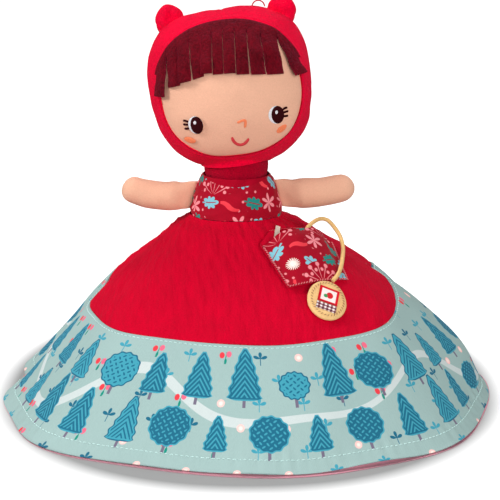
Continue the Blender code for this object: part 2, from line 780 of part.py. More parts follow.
def oval(middle, size, lean=0.0):
    """An oval outline seen from the front."""
    turn = np.linspace(0.0, 2.0 * math.pi, EMBROIDERY_COLUMNS, endpoint=False)
    across, up = size[0] * np.cos(turn), size[1] * np.sin(turn)
    return np.stack([middle[0] + across * math.cos(lean) - up * math.sin(lean),
                     middle[1] + across * math.sin(lean) + up * math.cos(lean)], axis=-1)


def build_face_features(prefix, shape, scale, parent):
    """Embroidered eyes, cheeks, nose and smile, on a lift just clear of the face panel."""
    axis = FACE_AXIS_SHIFT * scale
    lift = FEATURE_LIFT - FACE_INSET
    over = lift + FEATURE_THICKNESS + LAYER_GAP
    white_size = np.array([EYE_HALF_WIDTH, EYE_HALF_HEIGHT]) * scale
    iris_size = np.array([IRIS_HALF_WIDTH, IRIS_HALF_HEIGHT]) * scale
    cheek_size = np.array([CHEEK_HALF_WIDTH, CHEEK_HALF_HEIGHT]) * scale
    for label, side in (("right", -1.0), ("left", 1.0)):
        eye = np.array([axis + side * EYE_SPREAD * scale, -EYE_DROP * scale])
        iris = eye + np.array([IRIS_SHIFT * scale, 0.0])
        cheek = np.array([side * CHEEK_SPREAD, -CHEEK_DROP]) * scale
        face_patch(f"{prefix}eye_white_{label}", oval(eye, white_size), lift, "white_thread", parent,
                   shape)
        face_patch(f"{prefix}eye_iris_{label}", oval(iris, iris_size), over, "dark_thread",
                   parent, shape)
        face_patch(f"{prefix}cheek_{label}", oval(cheek, cheek_size, side * CHEEK_TURN),
                   lift - CHEEK_SINK, "coral_thread", parent, shape)
    bend = np.linspace(0.0, 1.0, NOSE_POINTS)
    nose = np.stack([axis + NOSE_WIDTH * scale * np.minimum(2.0 * bend, 1.0),
                     -NOSE_DROP * scale - NOSE_HEIGHT * scale * np.clip(2.0 * bend - 1.0, 0.0, 1.0)],
                    axis=-1)
    face_stroke(f"{prefix}nose", nose[1:], STITCH_HALF_WIDTH * scale, lift, "coral_thread",
                parent, shape)
    turn = np.linspace(math.pi, 2.0 * math.pi, MOUTH_POINTS)
    smile = np.stack([axis * 2.0 + MOUTH_HALF_WIDTH * scale * np.cos(turn),
                      -MOUTH_DROP * scale + MOUTH_DEPTH * scale * np.sin(turn)], axis=-1)
    face_stroke(f"{prefix}mouth", smile, STITCH_HALF_WIDTH * scale, lift, "red_thread",
                parent, shape)


def fringe_end(across):
    """Height where a strip of the fringe ends, from the doll's right over the middle to her left."""
    places = (-FACE_HALF_WIDTH, FRINGE_PEAK_SHARE * FACE_HALF_WIDTH, FACE_HALF_WIDTH)
    return np.interp(across, places, (FRINGE_END_LEFT, FRINGE_END_MIDDLE, FRINGE_END_RIGHT))


def build_fringe(shape, opening, cloth, parent):
    """Fleece hair cut into strips that hang from the top of the face opening."""
    slit = 0.5 * FRINGE_SLIT_SHARE / FRINGE_STRIPS
    cuts = [strip / FRINGE_STRIPS + side * slit for strip in range(1, FRINGE_STRIPS) for side in (-1, 1)]
    columns = np.array([0.0] + cuts + [1.0])
    top_x = (opening.half_width - FRINGE_TUCK) * FRINGE_ROOT_SPAN_SHARE * (2.0 * columns - 1.0)
    arch = 1.0 - np.abs(top_x / (opening.half_width - FRINGE_TUCK)) ** FACE_POWER
    top_y = opening.rise + (opening.half_height - FRINGE_TUCK) * arch ** (1.0 / FACE_POWER)
    foot_x = opening.half_width * FRINGE_FOOT_SPAN_SHARE * (2.0 * columns - 1.0)
    top = np.stack([top_x, top_y], axis=-1)
    foot = np.stack([foot_x, fringe_end(foot_x)], axis=-1)
    rows = np.concatenate([[0.0, FRINGE_ROOT_SHARE],
                           np.linspace(FRINGE_ROOT_SHARE, 1.0, FRINGE_ROWS)[1:]])
    grid = top[None] * (1.0 - rows[:, None, None]) + foot[None] * rows[:, None, None]
    mask = np.ones((len(rows) - 1, len(columns) - 1), bool)
    mask[1:, 1::2] = False
    lift = FRINGE_LIFT - FACE_INSET
    return plate("hair_fringe", shape.inset(-lift - FRINGE_THICKNESS).front(grid),
                 shape.inset(-lift).front(grid), cloth, parent, mask)


def build_ears(shape, cloth, parent):
    """Two rounded padded points on the upper corners of the hood, cut to its surface."""
    hood_solid = pillow_solid("hood_outside", shape.inset(-EAR_GAP), None, parent, HEAD_COLUMNS,
                              2 * FILLING_RINGS)
    for name, angle, turn in zip(("ear_left", "ear_right"), EAR_ANGLES, EAR_TURNS):
        corner = shape.rim(np.array(angle))
        sweep = np.linspace(0.0, 2.0 * math.pi, EAR_COLUMNS, endpoint=False)
        narrow = np.where(np.sin(sweep) > 0.0, 1.0 - EAR_POINT_SHARE * np.sin(sweep) ** 2, 1.0)
        outline = np.stack([EAR_HALF_WIDTH * np.cos(sweep) * narrow,
                            EAR_HEIGHT * 0.5 * (1.0 + np.sin(sweep)) - EAR_SINK], axis=-1)
        middle = outline.mean(axis=0)
        rings = []
        for swing in np.linspace(0.0, math.pi, EAR_RINGS + 2)[1:-1]:
            flat = middle + (outline - middle) * math.sin(swing) ** EAR_EDGE_POWER
            depth = np.full(EAR_COLUMNS, -EAR_HALF_DEPTH * math.cos(swing))
            rings.append(np.stack([flat[:, 0], depth, flat[:, 1]], axis=-1))
        ear = loft(name, rings, cloth, parent, (middle[0], -EAR_HALF_DEPTH, middle[1]),
                   (middle[0], EAR_HALF_DEPTH, middle[1]))
        ear.location = (corner[0], 0.0, corner[1])
        ear.rotation_euler = (0.0, -turn, 0.0)
        cut(ear, hood_solid)


@dataclass(frozen=True)
class ArmStyle:
    """How one doll's arms are cut and sewn on."""

    length: float
    seam_height: float
    slim: float
    raise_angle: float
    torso_size: float

    def seam(self):
        """Distance of the side seam from the middle of the body, and its lean."""
        half_height = ARM_HALF_HEIGHT * self.slim * ARM_SECTION_SHARES[0][1]
        low, high = self.seam_height - half_height, self.seam_height + half_height
        wide = BODICE_HALF_WIDTH * self.torso_size * torso_size(low / SHOULDER_HEIGHT)[0]
        narrow = BODICE_HALF_WIDTH * self.torso_size * torso_size(high / SHOULDER_HEIGHT)[0]
        return 0.5 * (wide + narrow) + ARM_SEAM_STAND_OFF, math.atan2(wide - narrow, high - low)


GIRL_ARMS = ArmStyle(ARM_LENGTH, ARM_SEAM_HEIGHT, 1.0, 0.0, 1.0)
SECOND_ARMS = ArmStyle(SECOND_ARM_LENGTH, SECOND_ARM_SEAM_HEIGHT, SECOND_ARM_SLIM_SHARE,
                       SECOND_ARM_RAISE, SECOND_TORSO_SHARE)


def build_arm(name, side, style, parent, cloth):
    """A stuffed tube from a flat seam to a round hand, curving a little on its way."""
    reach, lean = style.seam()
    joint = empty(f"{name}_seam", (side * reach, 0.0, style.seam_height), parent=parent)
    turn = np.linspace(0.0, 2.0 * math.pi, ARM_COLUMNS, endpoint=False)
    rings = []
    place = np.array([0.0, 0.0])
    last = 0.0
    for along, height_share, depth_share in ARM_SECTION_SHARES:
        heading = style.raise_angle + ARM_PATH_TURN * (along - ARM_LEVEL_SHARE)
        place = place + style.length * (along - last) * np.array([math.cos(heading), math.sin(heading)])
        last = along
        blend = min(1.0, along / ARM_UNTWIST_SHARE)
        tilt = lean * (1.0 - blend) + heading * blend
        half_height = ARM_HALF_HEIGHT * height_share * style.slim
        half_depth = max(ARM_HALF_DEPTH * depth_share * style.slim, ARM_SEAM_HALF_THICKNESS)
        up = np.sin(turn) * half_height
        rings.append(np.stack([side * (place[0] - up * math.sin(tilt)), half_depth * np.cos(turn),
                               place[1] + up * math.cos(tilt)], axis=-1))
    heading = style.raise_angle + ARM_PATH_TURN * (1.0 - ARM_LEVEL_SHARE)
    tip = place + style.length * (1.0 - last) * np.array([math.cos(heading), math.sin(heading)])
    return loft(name, rings, cloth, joint, end_pole=(side * tip[0], 0.0, tip[1]))


def build_girl(body):
    """Red-hooded girl above the waist."""
    build_bodice("bodice", body, "bodice_cotton", BODICE_START, 1.0, NECK_RADIUS)
    for name, side in (("arm_left", 1.0), ("arm_right", -1.0)):
        build_arm(name, side, GIRL_ARMS, body, "skin_jersey")
    neck = empty("neck_joint", (0.0, 0.0, NECK_HEIGHT), (0.0, HEAD_LEAN, 0.0), body)
    ball("neck_filling", NECK_RADIUS, "bodice_cotton", neck)
    socket = ball("head_socket", NECK_RADIUS + SOCKET_GAP, None, neck)
    opening = ball("hood_neck_opening", NECK_RADIUS + HOOD_NECK_CLEARANCE, None, neck)
    head = empty("head_middle", (HEAD_SIDE_OFFSET, 0.0, HEAD_RISE), parent=neck)
    inset = HOOD_THICKNESS + STUFFING_GAP
    cut(pillow_solid("head_filling", GIRL_HEAD.inset(inset), "filling", head), socket)
    build_hood("hood", GIRL_HEAD, GIRL_FACE, "red_fleece", head, opening, HEAD_COLUMNS)
    build_face_panel("face_panel", GIRL_HEAD, GIRL_FACE, "skin_jersey", head, HEAD_COLUMNS)
    build_fringe(GIRL_HEAD, GIRL_FACE, "maroon_fleece", head)
    build_ears(GIRL_HEAD, "red_fleece", head)
    build_face_features("", GIRL_HEAD, 1.0, head)


def build_second_doll(body):
    """Second doll, upside down under the skirt, resting on the flat crown of her cap."""
    build_bodice("second_bodice", body, "pink_cotton", SECOND_BODICE_START,
                 SECOND_TORSO_SHARE, SECOND_NECK_RADIUS)
    for name, side in (("second_arm_left", 1.0), ("second_arm_right", -1.0)):
        build_arm(name, side, SECOND_ARMS, body, "skin_jersey")
    neck = empty("second_neck_joint", (0.0, 0.0, NECK_HEIGHT), parent=body)
    socket = ball("second_head_socket", SECOND_NECK_RADIUS + SOCKET_GAP, None, neck)
    opening = ball("second_cap_neck_opening", SECOND_NECK_RADIUS + HOOD_NECK_CLEARANCE, None, neck)
    rise = WAIST_HEIGHT - NECK_HEIGHT + CROWN_FLAT - SECOND_HEAD_HALF_HEIGHT
    head = empty("second_head_middle", (0.0, 0.0, rise), parent=neck)
    ball("second_neck_filling", SECOND_NECK_RADIUS, "pink_cotton", neck)
    inset = HOOD_THICKNESS + STUFFING_GAP
    cut(pillow_solid("second_head_filling", SECOND_HEAD.inset(inset), "filling", head), socket)
    cap = build_hood("second_cap", SECOND_HEAD, SECOND_FACE, "cap_cotton", head, opening,
                     SECOND_HEAD_COLUMNS)
    build_face_panel("second_face_panel", SECOND_HEAD, SECOND_FACE, "skin_jersey", head,
                     SECOND_HEAD_COLUMNS)
    build_face_features("second_", SECOND_HEAD, SECOND_FACE_HALF_WIDTH / FACE_HALF_WIDTH, head)
    wide = 2.0 * HEM_RADIUS
    corners = [(x, y, z) for z in (-CUT_OVERRUN, 0.0) for x, y in
               ((-wide, -wide), (wide, -wide), (wide, wide), (-wide, wide))]
    table = loft("table_plane", np.array(corners).reshape(2, 4, 3), None)
    cut(cap, table)


def pouch_frame():
    """Middle of the pouch on the skirt, and its directions across, up the slope and outward."""
    middle = skirt_surface(np.array(POUCH_ANGLE), np.array(POUCH_SHARE))
    reach = POUCH_HALF_HEIGHT / skirt_slope_length()
    high, low = (skirt_surface(np.array(POUCH_ANGLE), np.array(POUCH_SHARE + side * reach))
                 for side in (-1.0, 1.0))
    slope = (high - low) / np.linalg.norm(high - low)
    turn = math.radians(POUCH_ANGLE)
    outward = np.cross((math.cos(turn), math.sin(turn), 0.0), slope)
    outward /= np.linalg.norm(outward)
    level = np.cross(slope, outward)
    across = level * math.cos(POUCH_TURN) + slope * math.sin(POUCH_TURN)
    return middle, across, np.cross(outward, across), outward


def pouch_point(across, up, lift):
    """A point of the pouch: across and up from its middle, bent round the skirt, then lifted."""
    middle, right, uphill, outward = pouch_frame()
    across, up, lift = np.broadcast_arrays(across, up, lift)
    drop = across ** 2 / (2.0 * POUCH_BEND_RADIUS)
    return (middle + across[..., None] * right + up[..., None] * uphill
            + (lift - drop)[..., None] * outward)


def pouch_plate(name, across, up, lift, thickness, cloth, parent):
    """A thin plate of the pouch over a grid of places, with its points counted from its joint."""
    grids = [pouch_point(across, up, lift + height) - np.array(parent.location)
             for height in (thickness, 0.0)]
    plate(name, grids[0], grids[1], cloth, parent)


def build_pouch(parent):
    """Back panel, bulged front panel with an open mouth, and the strap to the waist."""
    across = np.linspace(-1.0, 1.0, POUCH_COLUMNS + 1)
    share_u, share_v = np.meshgrid(across, np.linspace(0.0, 1.0, POUCH_ROWS + 1))
    flare = POUCH_FLARE * np.clip(share_u, 0.0, 1.0) * (2.0 * share_v - 1.0)
    back_up = -POUCH_HALF_HEIGHT + (2.0 * POUCH_HALF_HEIGHT + POUCH_BACK_RISE) * share_v
    taper = np.clip((back_up - POUCH_HALF_HEIGHT) / POUCH_BACK_RISE, 0.0, 1.0)
    back_across = (share_u * POUCH_HALF_WIDTH + flare) * (1.0 - POUCH_BACK_TAPER_SHARE * taper)
    pouch_plate("pouch_back", back_across, back_up, POUCH_LIFT, POUCH_WALL, "crinkled_velour", parent)
    front_lift = POUCH_LIFT + POUCH_WALL + LAYER_GAP
    bow = POUCH_MOUTH_BOW * share_v * share_u ** 2
    inside = (1.0 - np.abs(share_u)) * POUCH_HALF_WIDTH / POUCH_SEAM_WIDTH - 1.0
    swell = (np.clip(inside / POUCH_SWELL_SEAMS, 0.0, 1.0)
             * (1.0 - np.abs(share_u) ** POUCH_SWELL_SIDE_POWER)
             * np.sin(0.5 * math.pi * share_v) ** POUCH_SWELL_RISE_POWER)
    pouch_plate("pouch_front", share_u * POUCH_HALF_WIDTH + flare,
                POUCH_HALF_HEIGHT * (2.0 * share_v - 1.0) - bow, front_lift + POUCH_BULGE * swell,
                POUCH_WALL, "bodice_cotton", parent)
    foot, top = np.array(STRAP_FOOT), np.array(STRAP_TOP)
    sideways = np.array([top[1] - foot[1], foot[0] - top[0]]) / np.linalg.norm(top - foot)
    side, along = np.meshgrid(np.array([-0.5, 0.5]) * STRAP_WIDTH, np.linspace(0.0, 1.0, STRAP_ROWS))
    place = foot + (top - foot) * along[..., None] + sideways * side[..., None]
    pouch_plate("pouch_strap", place[..., 0], place[..., 1], front_lift, STRAP_THICKNESS,
                "cream_ribbon", parent)


def charm_point(across, up, lift):
    """A point of the charm, across and up over the skirt from the charm's middle, then lifted."""
    turned_across = np.asarray(across) * math.cos(CHARM_TURN) + np.asarray(up) * math.sin(CHARM_TURN)
    turned_up = np.asarray(up) * math.cos(CHARM_TURN) - np.asarray(across) * math.sin(CHARM_TURN)
    share = CHARM_SHARE - turned_up / skirt_slope_length()
    radius = WAIST_HALF_WIDTH + (HEM_RADIUS - WAIST_HALF_WIDTH) * share
    angle = CHARM_ANGLE + np.degrees(turned_across / radius)
    rise = CHARM_LIFT + (CHARM_TOP_LIFT - CHARM_LIFT) * np.clip(turned_up / CHARM_HALF_HEIGHT, 0.0, 1.0)
    angle, share, lift = np.broadcast_arrays(angle, share, lift + rise)
    return skirt_point(angle, share, lift)


def build_charm(pouch):
    """Padded oval at the end of the cord, with a framed patch and a gingham patch on it."""
    hinge = charm_point(0.0, CHARM_HALF_HEIGHT, 0.5 * CHARM_THICKNESS)
    joint = empty("charm_joint", hinge - np.array(pouch.location), parent=pouch)
    turn = np.linspace(0.0, 2.0 * math.pi, CHARM_COLUMNS, endpoint=False)
    rings = []
    for swing in np.linspace(0.0, math.pi, CHARM_RINGS + 2)[1:-1]:
        spread = math.sin(swing) ** CHARM_EDGE_POWER
        height = 0.5 * CHARM_THICKNESS * (1.0 + math.cos(swing))
        rings.append(charm_point(CHARM_HALF_WIDTH * spread * np.cos(turn),
                                 CHARM_HALF_HEIGHT * spread * np.sin(turn), height) - hinge)
    loft("charm_pad", rings, "tan_felt", joint, charm_point(0.0, 0.0, CHARM_THICKNESS) - hinge,
         charm_point(0.0, 0.0, 0.0) - hinge)
    over = CHARM_THICKNESS + SEAM_GAP
    labels = (("charm_patch", LABEL_HALF_SIZE, LABEL_HALF_SIZE, LABEL_RISE, "white_thread"),
              ("charm_gingham", GINGHAM_HALF_WIDTH, GINGHAM_HALF_HEIGHT, -GINGHAM_DROP, "gingham_cotton"))
    for name, half_width, half_height, rise, cloth in labels:
        grid_u, grid_v = np.meshgrid(np.linspace(-half_width, half_width, LABEL_GRID),
                                     rise + np.linspace(-half_height, half_height, LABEL_GRID))
        plate(name, charm_point(grid_u, grid_v, over + LABEL_THICKNESS) - hinge,
              charm_point(grid_u, grid_v, over) - hinge, cloth, joint)


def smooth_route(points, spacing):
    """Evenly spaced points on a smooth curve through the given ones."""
    points = np.asarray(points, float)
    padded = np.concatenate([[2.0 * points[0] - points[1]], points, [2.0 * points[-1] - points[-2]]])
    fine = []
    for before, start, end, after in zip(padded[:-3], padded[1:-2], padded[2:-1], padded[3:]):
        for step in np.linspace(0.0, 1.0, CORD_FINE_STEPS, endpoint=False):
            fine.append(0.5 * (2.0 * start + (end - before) * step
                               + (2.0 * before - 5.0 * start + 4.0 * end - after) * step ** 2
                               + (3.0 * start - before - 3.0 * end + after) * step ** 3))
    fine.append(points[-1])
    fine = np.array(fine)
    run = np.concatenate([[0.0], np.cumsum(np.linalg.norm(np.diff(fine, axis=0), axis=1))])
    count = max(8, int(round(run[-1] / spacing)) + 1)
    even = np.linspace(0.0, run[-1], count)
    return np.stack([np.interp(even, run, fine[:, axis]) for axis in range(3)], axis=-1)


def build_cord(parent, cloth):
    """Round cord from the pouch's mouth to the charm."""
    places = np.array(CORD_PLACES)
    route = smooth_route(pouch_point(places[:, 0], places[:, 1], places[:, 2]), CORD_POINT_SPACING)
    curve = bpy.data.curves.new("pouch_cord", "CURVE")
    curve.dimensions = "3D"
    curve.bevel_depth = 0.5 * CORD_DIAMETER
    curve.bevel_resolution = CORD_SIDES
    curve.use_fill_caps = True
    spline = curve.splines.new("POLY")
    spline.points.add(len(route) - 1)
    for point, place in zip(spline.points, route - np.array(parent.location)):
        point.co = (*map(float, place), 1.0)
    curve.materials.append(material("pouch_cord", cloth))
    cord = bpy.data.objects.new("pouch_cord", curve)
    cord.parent = parent
    bpy.context.collection.objects.link(cord)


def main():
    """Build the whole doll."""
    clear_scene()
    build_skirt()
    upper = empty("upper_body", (BODY_SHIFT, 0.0, WAIST_HEIGHT))
    lower = empty("lower_body", (BODY_SHIFT, 0.0, WAIST_HEIGHT), (0.0, math.pi, 0.0))
    build_torso_filling(upper, "filling")
    build_girl(upper)
    build_second_doll(lower)
    pouch = empty("pouch_joint", pouch_point(0.0, POUCH_HINGE_RISE, POUCH_HINGE_LIFT))
    build_pouch(pouch)
    build_cord(pouch, "tan_felt")
    build_charm(pouch)


main()
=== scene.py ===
"""Topsy turvy doll: the cloths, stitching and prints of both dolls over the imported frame.

Metres, +Z up, the doll faces -Y. The origin is on the table, in the middle of the hem.
Left and right are the doll's own, so her left hand is at +X.
"""
import math

import bpy
import numpy as np
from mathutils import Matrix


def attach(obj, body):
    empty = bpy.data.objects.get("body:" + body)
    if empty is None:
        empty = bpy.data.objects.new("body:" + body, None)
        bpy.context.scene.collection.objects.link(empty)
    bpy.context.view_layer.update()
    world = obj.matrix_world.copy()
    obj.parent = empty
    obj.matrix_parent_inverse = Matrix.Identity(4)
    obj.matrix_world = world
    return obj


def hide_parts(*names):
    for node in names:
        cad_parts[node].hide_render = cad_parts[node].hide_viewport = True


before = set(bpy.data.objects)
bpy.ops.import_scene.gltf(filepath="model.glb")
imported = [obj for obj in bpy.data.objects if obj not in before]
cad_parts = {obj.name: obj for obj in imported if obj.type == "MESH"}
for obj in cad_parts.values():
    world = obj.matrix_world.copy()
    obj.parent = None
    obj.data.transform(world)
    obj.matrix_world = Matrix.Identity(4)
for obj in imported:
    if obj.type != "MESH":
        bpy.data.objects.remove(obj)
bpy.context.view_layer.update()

MM = 0.001
FULL_TURN = 2.0 * math.pi

# The photograph's camera
CAMERA_PLACE = (0.0018, -1.0089, 0.3584)
CAMERA_DROP = 0.2508
CAMERA_LENS = 103.93
CAMERA_SENSOR = 36.0

# Skirt, as the part has it
HEM_RADIUS = 0.1745
WAIST_HEIGHT = 0.1315
WAIST_HALF_WIDTH = 0.0330
WAIST_HALF_DEPTH = 0.0290
BODY_SHIFT = -0.0080
SKIRT_BULGE = 0.0095
SKIRT_BULGE_POWER = 1.6
SKIRT_SWAY = 0.0060
WAIST_DROP = 0.0040
WAIST_DROP_SHARE = 0.105
BAND_TOP_SHARE = 0.548
LINING_TOP_SHARE = 0.038
SEAM_DIPS = ((100.0, 36.0, -0.120), (-112.0, 20.0, -0.110), (180.0, 40.0, -0.030))
SKIRT_FOLDS = (
    (-47.0, 0.0, 16.0, 0.074),
    (46.0, 0.0, 16.0, 0.064),
    (13.0, 0.0, 17.0, 0.030),
    (99.0, 9.0, 9.0, -0.062),
    (-92.0, 0.0, 8.0, -0.050),
    (-75.0, 0.0, 9.0, 0.020),
    (150.0, 0.0, 13.0, -0.057),
    (-143.0, 0.0, 14.0, -0.069),
    (180.0, 0.0, 25.0, 0.023),
)
SKIRT_PUFFS = (
    (82.0, 15.0, 0.76, 0.17, 0.052),
    (86.0, 26.0, 0.27, 0.17, -0.036),
    (-72.0, 14.0, 0.30, 0.16, -0.014),
)
PANEL_THICKNESS = 0.0013
BAND_THICKNESS = 0.0012
LINING_THICKNESS = 0.0007
LINING_DEPTH = 0.0023
HEM_FOLD = 0.0105
SIDE_SEAM_ANGLE = 97.0
SKIRT_COLUMNS = 480

# Torsos
SHOULDER_HEIGHT = 0.0250
BODICE_HALF_WIDTH = 0.0326
BODICE_HALF_DEPTH = 0.0280
COVER_THICKNESS = 0.0010
SECOND_TORSO_SHARE = 0.93
TORSO_PROFILE = (
    (0.00, 1.00, 1.00),
    (0.35, 0.945, 0.965),
    (0.68, 0.87, 0.91),
    (0.88, 0.80, 0.85),
    (0.975, 0.735, 0.78),
)
NECK_RADIUS = 0.0230
SECOND_NECK_RADIUS = 0.0200
NECK_HEIGHT = 0.0315
HEAD_LEAN = math.radians(-7.0)
HEAD_RISE = 0.0542
HEAD_SIDE_OFFSET = 0.0033
SECOND_HEAD_RISE = 0.0505
HOOD_THICKNESS = 0.0015
NECK_SOCKET_GAP = 0.0010
NECK_LIP = 0.0028
COLLAR_HEIGHT = 0.1512
COLLAR_SPREAD = 0.0220
COLLAR_RISE = 0.0045

# Arms
ARM_LENGTH = 0.0540
SECOND_ARM_LENGTH = 0.0420
ARM_SEAM_HEIGHT = 0.0106
ARM_HALF_HEIGHT = 0.0104
ARM_HALF_DEPTH = 0.0102
SECOND_ARM_SEAM_HEIGHT = 0.0158
SECOND_ARM_SLIM_SHARE = 0.74
SECOND_ARM_RAISE = math.radians(50.0)
ARM_RAISE = math.radians(3.0)
RIGHT_ARM_RAISE = math.radians(2.0)
RIGHT_ARM_PATH_TURN = math.radians(35.0)
RIGHT_ARM_SHORTER = 0.0030
RIGHT_ARM_DROP = 0.0012
ARM_PATH_TURN = math.radians(19.0)
ARM_LEVEL_SHARE = 0.35
ARM_UNTWIST_SHARE = 0.40
ARM_SEAM_STAND_OFF = 0.0012
ARM_SECTIONS = (
    (0.00, 0.96, 0.06),
    (0.07, 1.00, 0.24),
    (0.16, 1.02, 0.52),
    (0.30, 1.02, 0.84),
    (0.48, 1.00, 1.00),
    (0.66, 0.98, 1.00),
    (0.82, 0.93, 0.94),
    (0.92, 0.74, 0.75),
    (0.975, 0.44, 0.45),
    (1.00, 0.02, 0.02),
)

# Pouch, strap, cord and charm
POUCH_ANGLE = 37.5
POUCH_SHARE = 0.226
POUCH_TURN = math.radians(-10.0)
POUCH_BEND_RADIUS = 0.130
POUCH_HALF_WIDTH = 0.0265
POUCH_HALF_HEIGHT = 0.0215
POUCH_FLARE = 0.0050
POUCH_BACK_RISE = 0.0095
POUCH_BACK_TAPER = 0.45
POUCH_LIFT = 0.0012
POUCH_WALL = 0.0012
POUCH_BULGE = 0.0092
POUCH_SEAM_WIDTH = 0.0020
POUCH_MOUTH_BOW = 0.0035
STRAP_WIDTH = 0.0032
STRAP_FOOT = (-0.0176, 0.0170)
STRAP_TOP = (-0.0064, 0.0335)
CORD_DIAMETER = 0.0029
CORD_PLACES = (
    (-0.0006, 0.0124, 0.0041),
    (0.0073, 0.0210, 0.0052),
    (0.0120, 0.0253, 0.0056),
    (0.0179, 0.0301, 0.0062),
    (0.0259, 0.0345, 0.0072),
    (0.0324, 0.0362, 0.0080),
    (0.0367, 0.0341, 0.0086),
    (0.0381, 0.0258, 0.0088),
    (0.0376, 0.0170, 0.0084),
    (0.0328, 0.0059, 0.0080),
    (0.0244, -0.0060, 0.0082),
    (0.0172, -0.0150, 0.0086),
    (0.0115, -0.0212, 0.0078),
    (0.0056, -0.0249, 0.0054),
)
CHARM_ANGLE = 31.0
CHARM_SHARE = 0.410
CHARM_HALF_WIDTH = 0.0120
CHARM_HALF_HEIGHT = 0.0155
CHARM_THICKNESS = 0.0042
CHARM_LIFT = 0.0006
CHARM_TOP_LIFT = 0.0030
CHARM_TURN = math.radians(36.0)

# Studio
FLOOR_REACH = 6.0
# Grey floor colour: round the hem it is painted shade; further out the camera glow below paints the floor and
# the lamps' shadow white
FLOOR_SHADE_GREY = (0.34, 0.34, 0.34)
FLOOR_GLOW_START = 0.190
FLOOR_GLOW_WIDTH = 0.020
FLOOR_GLOW_POWER = 2.15
FLOOR_GLOW_SLIM = 1.12
WORLD_LIGHT = 0.21
LAMPS = (("key_lamp", (-1.95, -0.60, 1.25), 0.8, 39.0),
         ("fill_lamp", (0.7, -2.0, 0.55), 1.6, 45.0),
         ("top_lamp", (0.05, 0.55, 1.8), 0.7, 13.0))


# How much longer than wide a rib of the crinkled cloth is
CRINKLE_STRETCH = 4.5


# ---------------------------------------------------------------- meshes

def grid_quads(rows, columns, closed, first=0):
    """Corner numbers of a grid's quads; a closed grid's last column meets its first."""
    across = np.arange(columns if closed else columns - 1)
    beside = (across + 1) % columns
    start = first + np.arange(rows - 1)[:, None] * columns
    quads = np.broadcast_arrays(start + across, start + beside, start + columns + beside,
                                start + columns + across)
    return np.stack(quads, axis=-1).reshape(-1, 4)


def corner_places(uv):
    """Map places of a grid's quads, corner by corner, from one place for each grid line."""
    last = uv.shape[1] - 1
    corners = (uv[:-1, :last], uv[:-1, 1:], uv[1:, 1:], uv[1:, :last])
    return np.stack(corners, axis=2)


def slopes(grid, closed):
    """Differences along the rows and along the columns of a grid of points."""
    down = np.gradient(grid, axis=0)
    if closed:
        return down, 0.5 * (np.roll(grid, -1, axis=1) - np.roll(grid, 1, axis=1))
    return down, np.gradient(grid, axis=1)


def grid_normals(grid, closed):
    """Unit vectors square to the surface: the cross product of its two slopes."""
    normal = np.cross(*slopes(grid, closed))
    return normal / (np.linalg.norm(normal, axis=-1, keepdims=True) + 1e-12)


def add_piece(name, points, faces, cloth, map_places=None):
    """One object from its points, faces and map places, turned so that it faces outward."""
    points = np.asarray(points, float).reshape(-1, 3)
    mesh = bpy.data.meshes.new(name)
    mesh.from_pydata(points.tolist(), [], [list(map(int, face)) for face in faces])
    if map_places is not None:
        mesh.uv_layers.new(name="Cloth").data.foreach_set("uv", np.concatenate(
            [np.asarray(place, float).reshape(-1) for place in map_places]))
    centre = points.mean(axis=0)
    mesh.calc_loop_triangles()
    corners = np.empty(3 * len(mesh.loop_triangles), int)
    mesh.loop_triangles.foreach_get("vertices", corners)
    first, second, third = (points[corners.reshape(-1, 3)[:, place]] - centre for place in range(3))
    if float(np.einsum("ij,ij->", first, np.cross(second, third))) < 0.0:
        mesh.flip_normals()
    mesh.shade_smooth()
    mesh.update()
    piece = bpy.data.objects.new(name, mesh)
    bpy.context.collection.objects.link(piece)
    piece.data.materials.append(cloth)
    return piece


def shell_parts(outer, inner, closed=True, uv=None, poles=None):
    """Points, faces and map places of a cloth wall between two grids, closed at its rims or poles."""
    rows, columns = outer.shape[:2]
    size = rows * columns
    if uv is None:
        reach = columns + 1 if closed else columns
        uv = np.stack(np.meshgrid(np.linspace(0.0, 1.0, reach), np.linspace(0.0, 1.0, rows)), axis=-1)
    quads = grid_quads(rows, columns, closed)
    places = uv if uv.ndim == 4 else corner_places(uv)
    faces = [quads, quads[:, ::-1] + size]
    maps = [places, places[:, :, ::-1]]
    lines = [(np.arange(columns), places[0][:, [0, 0, 1, 1]], closed, True)]
    if poles is None:
        lines.append(((rows - 1) * columns + np.arange(columns), places[-1][:, [3, 3, 2, 2]], closed,
                      False))
    if not closed:
        lines.append((np.arange(rows) * columns, places[:, 0][:, [0, 0, 3, 3]], False, False))
        lines.append((np.arange(rows) * columns + columns - 1, places[:, -1][:, [1, 1, 2, 2]], False,
                      True))
    for line, rim_map, loops, flip in lines:
        start, end = (line, np.roll(line, -1)) if loops else (line[:-1], line[1:])
        rim = np.stack([start, start + size, end + size, end], axis=-1)
        faces.append(rim[:, ::-1] if flip else rim)
        maps.append(rim_map[:, ::-1] if flip else rim_map)
    points = [outer.reshape(-1, 3), inner.reshape(-1, 3)]
    all_faces = list(np.concatenate(faces))
    if poles is not None:
        points.append(np.asarray(poles, float))
        ring = (rows - 1) * columns + np.arange(columns)
        sides = places[-1][:, [3, 2]]
        for pole, shift, flip in ((2 * size, 0, False), (2 * size + 1, size, True)):
            fan = np.stack([ring + shift, np.roll(ring, -1) + shift, np.full(columns, pole)], axis=-1)
            fan_map = np.concatenate([sides, sides.mean(axis=1, keepdims=True)], axis=1)
            all_faces += list(fan[:, ::-1] if flip else fan)
            maps.append(fan_map[:, ::-1] if flip else fan_map)
    return np.concatenate(points), all_faces, maps


def add_shell(name, outer, inner, cloth, closed=True, uv=None, poles=None):
    """A cloth wall between two grids, closed at its rims, or over a pole after the last row."""
    points, faces, maps = shell_parts(outer, inner, closed, uv, poles)
    return add_piece(name, points, faces, cloth, maps)


